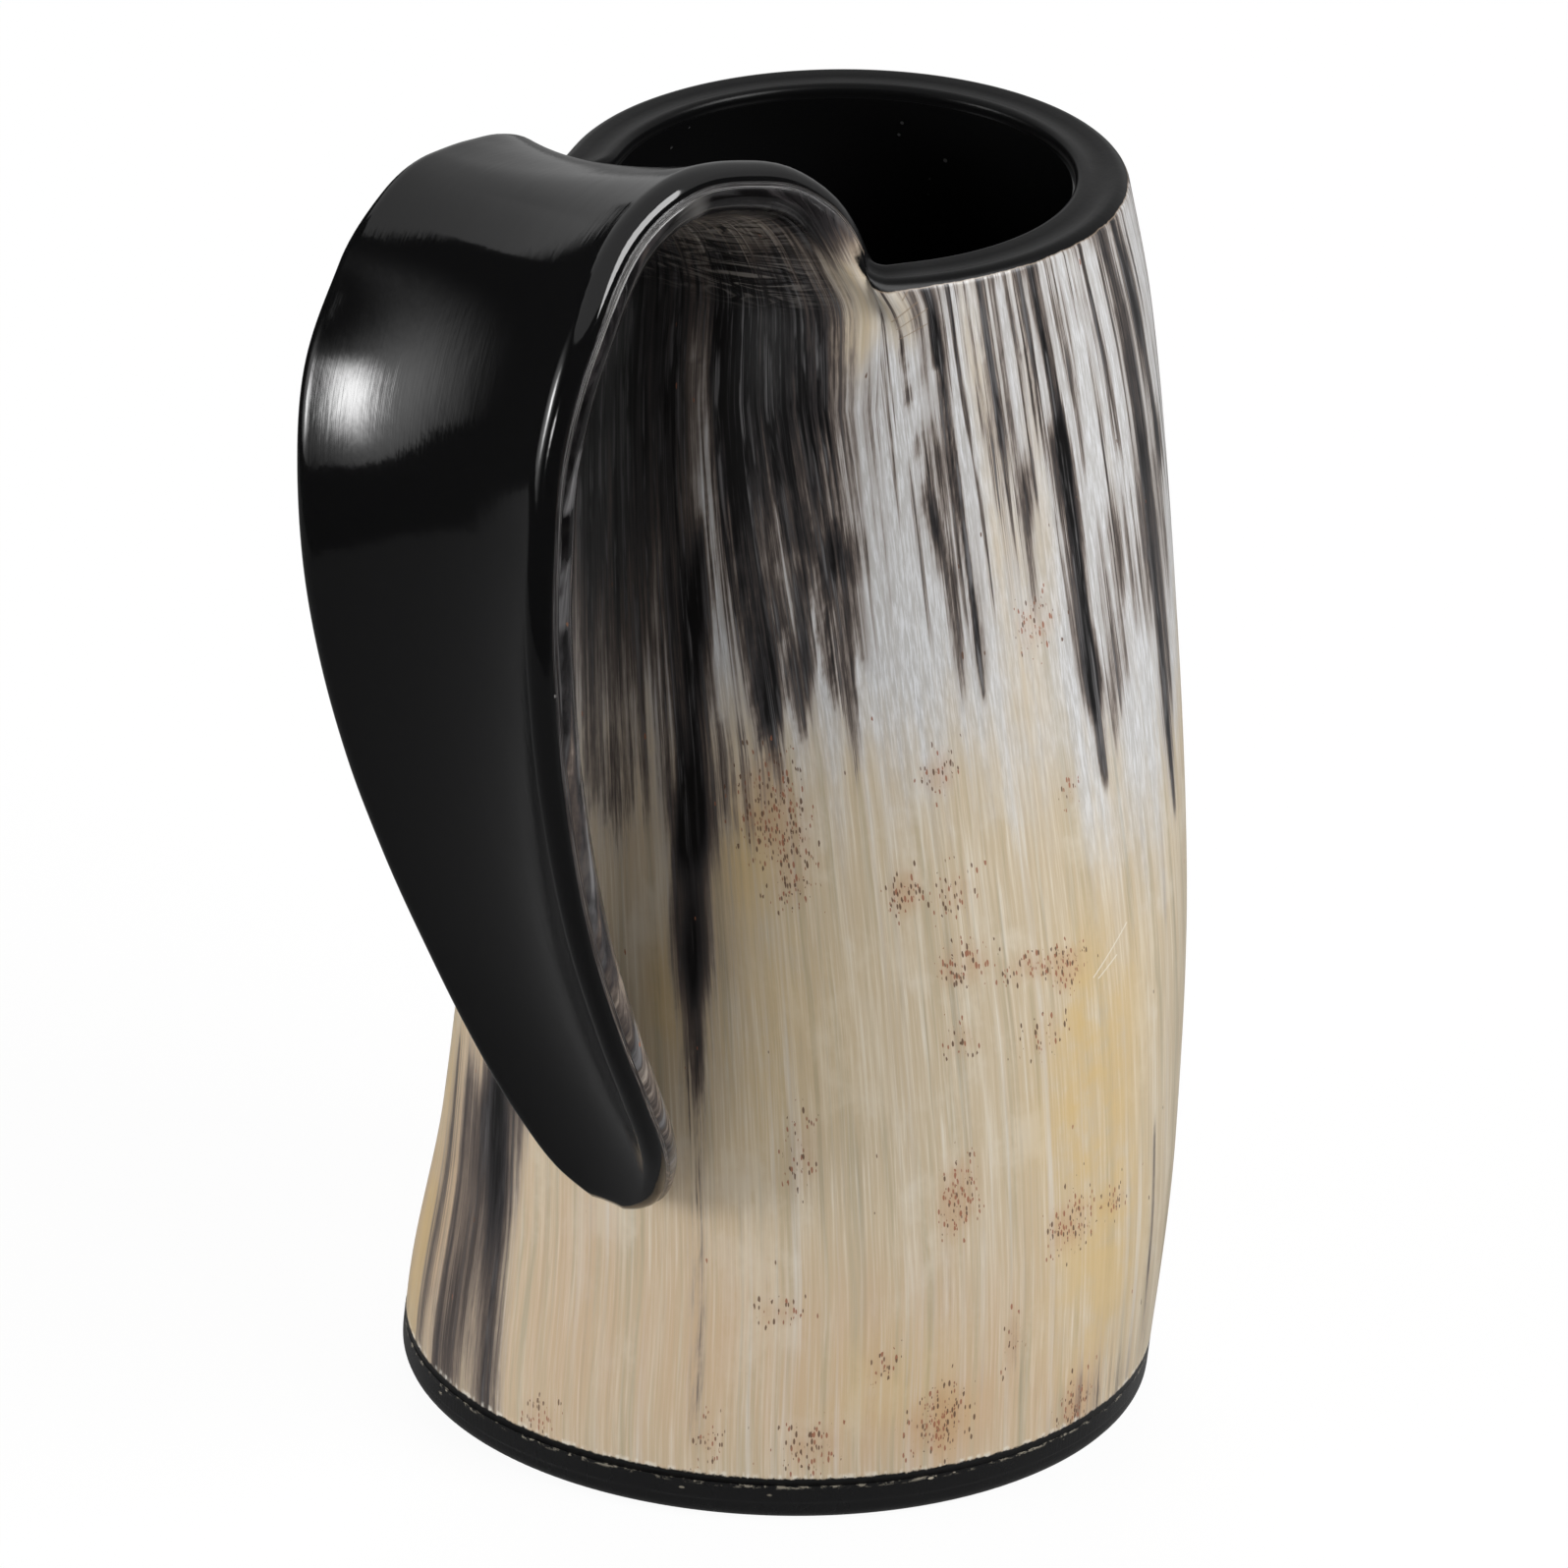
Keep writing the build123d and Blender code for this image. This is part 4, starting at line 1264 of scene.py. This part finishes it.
        # Grey strands in cloudy patches over the dark: partly grey hairlines, partly a painted sheen
        strands_and_sheen = nodes.step(0.46, 0.66, at.threads) * nodes.step(0.42, 0.60, at.cloud)
        body = nodes.mix(strands_and_sheen * held * nodes.step(0.45, 0.90, depth) * 0.85, body, self.strands_and_sheen)
        return nodes.mix(nodes.step(0.54, 0.66, at.hairs) * at.layer * 0.8, body, self.hair)

    def _dashes(self, nodes: Nodes, at: HornFields, body: Wire) -> Wire:
        """Brown dashes in clusters, each on a faint blush, and a few strays."""
        crowd = nodes.value(Mask.FLECK) * (nodes.noise(at.fibre, 0.5, 3.0) * 1.5 + 0.25)
        chance = nodes.math("POWER", crowd, 1.25) + at.wall * 0.0018
        dashes, pick = EFFECTS.flecks.use(nodes, Place=at.place, Stretch=(4.3, 1.20, 0.0), Size=0.46, Chance=chance)
        body = nodes.mix(nodes.step(0.1, 1.1, crowd) * 0.46, body, self.blush)
        tint = nodes.mix(nodes.step(0.35, 0.75, pick), self.fleck, self.fleck_light)
        return nodes.mix(dashes * 0.9, body, tint)

    def _wear(self, nodes: Nodes, at: HornFields, body: Wire) -> Wire:
        """Brown fibres and dust on the strap, two pale scratches and a few brown scrapes below the rim."""
        cast = nodes.step(0.42, 0.66, at.lines) * nodes.step(0.40, 0.62, at.blot) * at.strap
        body = nodes.mix(cast, body, self.undertone)
        dust = EFFECTS.flecks.use(nodes, Place=at.place, Stretch=(0.20, 0.20, 0.0), Size=0.035, Chance=0.35)[0]
        body = nodes.mix(dust * at.strap * 0.6, body, self.hair)
        for marks, share, colour in ((self.scratches, 0.7, self.scratch), (self.scrapes, 0.6, self.scrape)):
            drawn = nodes.mark(at.place, marks[0])
            for mark in marks[1:]:
                drawn = nodes.math("MAXIMUM", drawn, nodes.mark(at.place, mark))
            body = nodes.mix(drawn * share, body, colour)
        return body

    def _creases(self, nodes: Nodes, at: HornFields, body: Wire) -> tuple[Wire, Wire]:
        """Creases under the strap's bend: level lines of a noise stretched round the horn, with painted shade in the
        crease lines and a painted highlight on the ridges between them.

        Returns:
            The body with the creases' painted shade and highlight, and how deep they are.
        """
        ripple = nodes.noise(at.place, (0.07, 0.62, 1.0), 2.0, 0.5, 0.6)
        bent = nodes.math("PINGPONG", ripple * 7.5, 0.5)
        pressed = nodes.value(Mask.CREASE) * nodes.step(0.30, 0.46, at.cloud)
        crease = nodes.step(0.20, 0.04, bent) * pressed
        # Light grey on the ridges is a painted highlight; black in the crease lines is painted shade
        body = nodes.mix(nodes.step(0.30, 0.48, bent) * pressed * 0.85, body, self.ridge_highlight)
        return nodes.mix(crease * 0.85, body, self.black), crease

    def _coats(self, nodes: Nodes, at: HornFields, body: Wire) -> tuple[Wire, Wire]:
        """Black coat that reaches over the rim, and the lacquer that climbs past the base's edge.

        Returns:
            The body with its coats, and where the rim's coat is.
        """
        lap = at.height + nodes.noise(at.fibre, 1.6, 5.0, 0.75)
        worn = nodes.value(Mask.COAT) + (nodes.noise(at.fibre, 0.5, 4.0, 0.6) - 0.5) * 0.6
        over = nodes.step(0.42, 0.58, worn)
        body = nodes.mix(nodes.step(0.26, 0.42, worn) * nodes.value(Mask.WORN), body, self.scrape)
        rubbed = nodes.step(6.95, 6.45, lap) * nodes.step(0.44, 0.62, at.cloud)
        body = nodes.mix(rubbed * 0.7, body, self.scratch)
        return nodes.mix(nodes.math("MAXIMUM", over, nodes.step(6.35, 6.15, lap)), body, self.coat), over

    def material(self) -> bpy.types.Material:
        """Builds the horn's material from the values stored in its skin."""
        material, nodes, shader = new_material("polished_horn")
        at = HornFields(nodes)
        body = self._body(nodes, at)
        for layer in (self._streaks, self._dashes, self._wear):
            body = layer(nodes, at, body)
        body, crease = self._creases(nodes, at, body)
        body, over = self._coats(nodes, at, body)
        rough = EFFECTS.polish.use(nodes, Place=at.fibre, Smear=0.08, Gloss=self.gloss)[0]
        sleek = EFFECTS.polish.use(nodes, Place=at.fibre, Smear=0.05, Gloss=self.strap_gloss)[0]
        shine = nodes.blend(nodes.math("MAXIMUM", at.strap, at.layer * 0.8), rough, sleek)
        top = over * at.wall
        relief = nodes.blend(at.layer, at.fine, at.hairs) * nodes.blend(at.layer, 0.12, 1.2)
        outcome = {
            "Base Color": body,
            "Roughness": nodes.blend(top, shine, self.coat_gloss),
            "Specular IOR Level": nodes.blend(top, 0.5, self.coat_specular),
            "Normal": nodes.bump(relief - crease * 1.2 + at.blot * 0.5, 0.35, 0.0003),
            "IOR": 1.5,
        }
        nodes.fill(shader, outcome)
        return material


@dataclass(frozen=True)
class LacquerFinish:
    """Black lacquer of the base disc, with tiny pale chips and a faint line round its middle: a groove with a painted
    highlight along it.
    """

    black: Colour = (0.0060, 0.0060, 0.0064)
    chip: Colour = (0.42, 0.38, 0.30)
    # Lighter grey of the groove round the middle: a painted highlight
    line: Colour = (0.03, 0.03, 0.03)
    line_height: float = 2.6

    def material(self) -> bpy.types.Material:
        """Builds the lacquer."""
        material, nodes, shader = new_material("black_lacquer")
        place = nodes.millimetres()
        height = nodes.get(2, "ShaderNodeSeparateXYZ", {0: place})
        chips = EFFECTS.flecks.use(nodes, Place=place, Stretch=(0.75, 0.75, 1.6), Size=0.30, Chance=0.05)[0]
        body = nodes.mix(chips * nodes.step(2.9, 4.4, height), self.black, self.chip)
        rub = nodes.step(0.52, 0.60, nodes.noise(place, (0.7, 0.7, 1.4), 4.0, 0.7)) * nodes.step(4.25, 4.65, height)
        body = nodes.mix(rub * 0.6, body, self.chip)
        # The ring is a groove, and its lighter colour is a painted highlight along it
        ring = nodes.step(0.16, 0.02, nodes.math("ABSOLUTE", height - self.line_height))
        shine, scuffs = EFFECTS.polish.use(nodes, Place=place, Smear=0.2, Gloss=0.28)
        relief = nodes.bump(scuffs * 0.5 - ring * 0.3, 0.3, 0.0002)
        nodes.fill(shader, {"Base Color": nodes.mix(ring * 0.2, body, self.line), "Roughness": shine, "Normal": relief})
        return material


@dataclass(frozen=True)
class CoatFinish:
    """Glossy black food-safe coat inside the mug, a little uneven where it ran."""

    black: Colour = (0.0045, 0.0045, 0.0047)
    dust: Colour = (0.05, 0.05, 0.05)

    def material(self) -> bpy.types.Material:
        """Builds the coat."""
        material, nodes, shader = new_material("black_coat")
        place = nodes.millimetres()
        specks = EFFECTS.flecks.use(nodes, Place=place, Stretch=(0.45, 0.45, 0.45), Size=0.10, Chance=0.3)[0]
        shine = EFFECTS.polish.use(nodes, Place=place, Smear=0.06, Gloss=0.08)[0]
        relief = nodes.bump(nodes.noise(place, (0.12, 0.12, 0.03), 2.0), 0.15, 0.0006)
        body = nodes.mix(specks, self.black, self.dust)
        nodes.fill(shader, {"Base Color": body, "Roughness": shine, "Normal": relief})
        return material


@dataclass(frozen=True)
class GlueFinish:
    """Cured brown adhesive with small bubbles."""

    amber: Colour = (0.10, 0.070, 0.036)
    bubble: Colour = (0.24, 0.18, 0.10)

    def material(self) -> bpy.types.Material:
        """Builds the adhesive."""
        material, nodes, shader = new_material("cured_glue")
        place = nodes.millimetres()
        bubbles = EFFECTS.flecks.use(nodes, Place=place, Stretch=(1.1, 1.1, 1.1), Size=0.4, Chance=0.5)[0]
        shine = EFFECTS.polish.use(nodes, Place=place, Smear=0.3, Gloss=0.5)[0]
        nodes.fill(shader, {"Base Color": nodes.mix(bubbles, self.amber, self.bubble), "Roughness": shine})
        return material


@dataclass
class BaseAndLining:
    """Base disc, glue ring and inner coat: the solids' own meshes with their finishes."""

    lacquer: LacquerFinish = LacquerFinish()
    glue: GlueFinish = GlueFinish()
    coat: CoatFinish = CoatFinish()

    def dress(self, nodes: dict[str, bpy.types.Object]) -> None:
        """Gives each carried-over node its finish."""
        for name, finish in (("base_disc", self.lacquer), ("glue_ring", self.glue), ("inner_lining", self.coat)):
            mesh = nodes[name].data
            mesh.materials.clear()
            mesh.materials.append(finish.material())
            log.info("%s: %d points", name, len(mesh.vertices))


def stand(
    name: str, data: bpy.types.ID, aim: Vector, bearing: float, climb: float, distance: float
) -> bpy.types.Object:
    """Adds a lamp or a camera that looks at a point from a bearing and a climb, in degrees."""
    turn, rise = math.radians(bearing), math.radians(climb)
    away = Vector((math.cos(turn) * math.cos(rise), math.sin(turn) * math.cos(rise), math.sin(rise)))
    holder = bpy.data.objects.new(name, data)
    holder.location = aim + away * distance
    holder.rotation_euler = away.to_track_quat("Z", "Y").to_euler()
    bpy.context.scene.collection.objects.link(holder)
    return holder


@dataclass(frozen=True)
class Softbox:
    """Rectangular lamp aimed at the mug: angles in degrees, sizes in metres.

    A soft lamp fades towards its rim, and a lamp that isn't mirrored doesn't show in the gloss.
    """

    name: str
    bearing: float
    climb: float
    distance: float
    width: float
    length: float
    power: float
    soft: bool = False
    mirrored: bool = True

    def place(self, aim: Vector) -> None:
        """Adds the lamp."""
        lamp = bpy.data.lights.new(self.name, "AREA")
        lamp.shape, lamp.size, lamp.size_y = "RECTANGLE", self.width, self.length
        lamp.energy = self.power
        if self.soft:
            nodes = bare_nodes(lamp)
            spot = nodes.get("Parametric", "ShaderNodeNewGeometry")
            centred = nodes.vector("MULTIPLY", nodes.vector("SUBTRACT", spot, (0.5, 0.5, 0.0)), (2.0, 2.0, 0.0))
            fade = nodes.math("POWER", nodes.step(1.0, 0.0, nodes.vector("LENGTH", centred)), 2.0)
            nodes.add("ShaderNodeOutputLight", {0: nodes.get(0, "ShaderNodeEmission", {"Strength": fade * 3.0})})
        stand(self.name, lamp, aim, self.bearing, self.climb, self.distance).visible_glossy = self.mirrored


@dataclass
class Studio:
    """White floor and surroundings, dark and grey cards that the gloss shows, lamps and the camera."""

    floor_half: float = 6.0
    sensor: float = 36.0
    image_size: float = 1596.0
    focal_pixels: float = 10662.9
    distance: float = 1.2
    bearing: float = 40.0
    climb: float = 25.95
    aim: Vector = field(default_factory=lambda: Vector((-0.000823, 0.000981, 0.07423)))
    ambient: float = 0.14
    floor_matte: float = 0.45
    floor_share: float = 0.90
    floor_glow: float = 1.055
    card_radius: float = 2.4
    card_height: float = 0.13
    card_low: float = 0.0006
    card_grey: float = 0.012
    near_radius: float = 0.43
    grey_radius: float = 2.85
    near_grey: float = 0.105
    side_grey: float = 0.21
    cloth_radius: float = 2.9
    cloth_front: float = 0.58
    cloth_back: float = 0.50
    # Bearing and climb of the upper edge of the dark card, as seen from the strap
    card_edge: tuple[tuple[float, float], ...] = (
        (-124.0, 2.0), (-116.0, 12.0), (-94.0, 17.0), (-84.0, 20.0), (-80.0, 23.0), (-77.0, 26.0),
        (-71.0, 31.0), (-58.0, 33.0), (-51.0, 30.5), (-46.5, 34.0), (-38.0, 34.0), (-20.0, 33.0),
        (20.0, 34.0), (60.0, 34.0), (95.0, 24.0), (125.0, 18.0), (140.0, 2.0),
    )
    lamps: tuple[Softbox, ...] = (
        Softbox("left_box", -31.0, 10.8, 1.25, 0.62, 0.60, 8.0, True),
        Softbox("left_halo", -38.5, 8.0, 1.30, 2.10, 1.30, 6.5, True),
        Softbox("left_fill", -36.0, 12.0, 1.40, 1.0, 1.0, 9.0, mirrored=False),
        Softbox("front_strip", 12.0, 7.0, 1.4, 0.50, 0.24, 2.0, True),
        Softbox("right_box", 100.0, 36.0, 1.5, 0.8, 0.8, 22.0),
        Softbox("back_box", 222.0, 40.0, 1.5, 0.8, 0.8, 12.0, mirrored=False),
    )

    def _bright_share(self, nodes: Nodes) -> Wire:
        """1 for rays from the camera, off glossy surfaces and through clear ones, and 0 for the rest."""
        path = nodes.add("ShaderNodeLightPath")
        seen, mirrored, clear = nodes.outputs(path, "Is Camera Ray", "Is Glossy Ray", "Is Transmission Ray")
        return nodes.math("MAXIMUM", nodes.math("MAXIMUM", seen, mirrored), clear)

    def _stage_piece(self, name: str, points: Array, faces: Array, material: bpy.types.Material) -> bpy.types.Object:
        """Adds a piece of the studio, in metres."""
        mesh = bpy.data.meshes.new(name)
        mesh.from_pydata(points.tolist(), [], faces.tolist())
        mesh.materials.append(material)
        piece = bpy.data.objects.new(name, mesh)
        bpy.context.scene.collection.objects.link(piece)
        return piece

    def floor(self) -> None:
        """Lays the floor: white as seen, with a trace of the mug's shadow."""
        half = self.floor_half
        corners = np.array([(-half, -half, 0.0), (half, -half, 0.0), (half, half, 0.0), (-half, half, 0.0)])
        material = bpy.data.materials.new("white_floor")
        nodes = bare_nodes(material)
        matte = nodes.get(0, "ShaderNodeBsdfDiffuse", {"Color": (*(self.floor_matte,) * 3, 1.0)})
        white = nodes.get(0, "ShaderNodeEmission", {"Color": WHITE, "Strength": self.floor_glow})
        share = self._bright_share(nodes) * self.floor_share
        both = nodes.get(0, "ShaderNodeMixShader", {0: share, 1: matte, 2: white})
        nodes.add("ShaderNodeOutputMaterial", {"Surface": both})
        self._stage_piece("floor", corners, np.array([[0, 1, 2, 3]]), material)

    def cards(self) -> None:
        """Stands a dark card round the front, lays a grey disc round the mug and hangs a dome of cloth over it."""
        edge = np.array(self.card_edge)
        turns = np.linspace(edge[0, 0], edge[-1, 0], 185)
        climbs = np.radians(np.interp(turns, edge[:, 0], edge[:, 1]))
        ring = np.stack([np.cos(np.radians(turns)), np.sin(np.radians(turns))], -1)
        level = np.full(len(ring), self.card_low)
        top = self.card_height + self.card_radius * np.tan(climbs)
        rows = ((self.near_radius, level), (self.card_radius, level), (self.card_radius, top))
        wall = np.vstack([np.column_stack([ring * radius, height]) for radius, height in rows])
        dark = self._card_material("dark_card", self.card_grey, self.card_grey)
        pieces = [self._stage_piece("dark_card", wall, grid_faces(len(rows), len(ring)), dark)]
        whole = np.radians(np.linspace(0.0, 360.0, 97)[:-1])
        wide = self.grey_radius
        disc = np.column_stack([wide * np.cos(whole), wide * np.sin(whole), np.full(len(whole), self.card_low / 2)])
        grey = self._card_material("grey_card", self.near_grey, self.side_grey)
        pieces.append(self._stage_piece("grey_card", disc, np.arange(len(whole))[None], grey))
        pieces.append(self._dome())
        for piece in pieces:
            piece.visible_camera = piece.visible_diffuse = piece.visible_shadow = False

    def _dome(self) -> bpy.types.Object:
        """Half dome of grey cloth: radius times cos and sin of the bearing and the climb."""
        turns, climbs = np.meshgrid(np.radians(np.linspace(0.0, 360.0, 49)), np.radians(np.linspace(0.0, 90.0, 13)))
        points = np.stack([np.cos(turns) * np.cos(climbs), np.sin(turns) * np.cos(climbs), np.sin(climbs)], -1)
        cloth = self._card_material("grey_cloth", self.cloth_front, self.cloth_back, self.cloth_radius)
        points = points.reshape(-1, 3) * self.cloth_radius
        return self._stage_piece("grey_cloth", points, grid_faces(*turns.shape), cloth)

    def _card_material(self, name: str, front: float, back: float, high: float = 0.0) -> bpy.types.Material:
        """Card that glows in one grey on the strap's side and in another behind, up to a share of its height."""
        material = bpy.data.materials.new(name)
        nodes = bare_nodes(material)
        place = nodes.get("Object", "ShaderNodeTexCoord")
        behind = nodes.step(0.10, -0.05, nodes.vector("DOT_PRODUCT", place, (0.96, -0.28, 0.0)))
        if high:
            level = nodes.get(2, "ShaderNodeSeparateXYZ", {0: place})
            behind = behind * nodes.step(0.70 * high, 0.50 * high, level)
        glow = nodes.get(0, "ShaderNodeEmission", {"Strength": nodes.blend(behind, front, back)})
        nodes.add("ShaderNodeOutputMaterial", {"Surface": glow})
        return material

    def surroundings(self) -> None:
        """Sets the white world, dimmer where it lights matte surfaces."""
        world = bpy.data.worlds.new("studio")
        nodes = bare_nodes(world)
        strength = nodes.blend(self._bright_share(nodes), self.ambient, 1.0)
        light = nodes.get(0, "ShaderNodeBackground", {"Color": WHITE, "Strength": strength})
        nodes.add("ShaderNodeOutputWorld", {"Surface": light})
        bpy.context.scene.world = world

    def camera(self) -> None:
        """Sets the camera where the photograph was taken from."""
        lens = bpy.data.cameras.new("camera")
        lens.sensor_width = self.sensor
        lens.lens = self.sensor * self.focal_pixels / self.image_size
        lens.clip_end = 50.0
        bpy.context.scene.camera = stand("camera", lens, self.aim, self.bearing, self.climb, self.distance)

    def build(self) -> None:
        """Sets up everything round the mug."""
        self.floor()
        self.cards()
        self.surroundings()
        self.camera()
        for lamp in self.lamps:
            lamp.place(self.aim)
        bpy.context.scene.view_settings.view_transform = "Standard"


def main() -> None:
    """Builds the studio and dresses each sub-assembly in turn."""
    logging.basicConfig(level=logging.INFO)
    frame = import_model()
    Studio().build()
    HornCup().dress(HornFinish())
    BaseAndLining().dress(frame["nodes"])


if __name__ == "__main__":
    main()
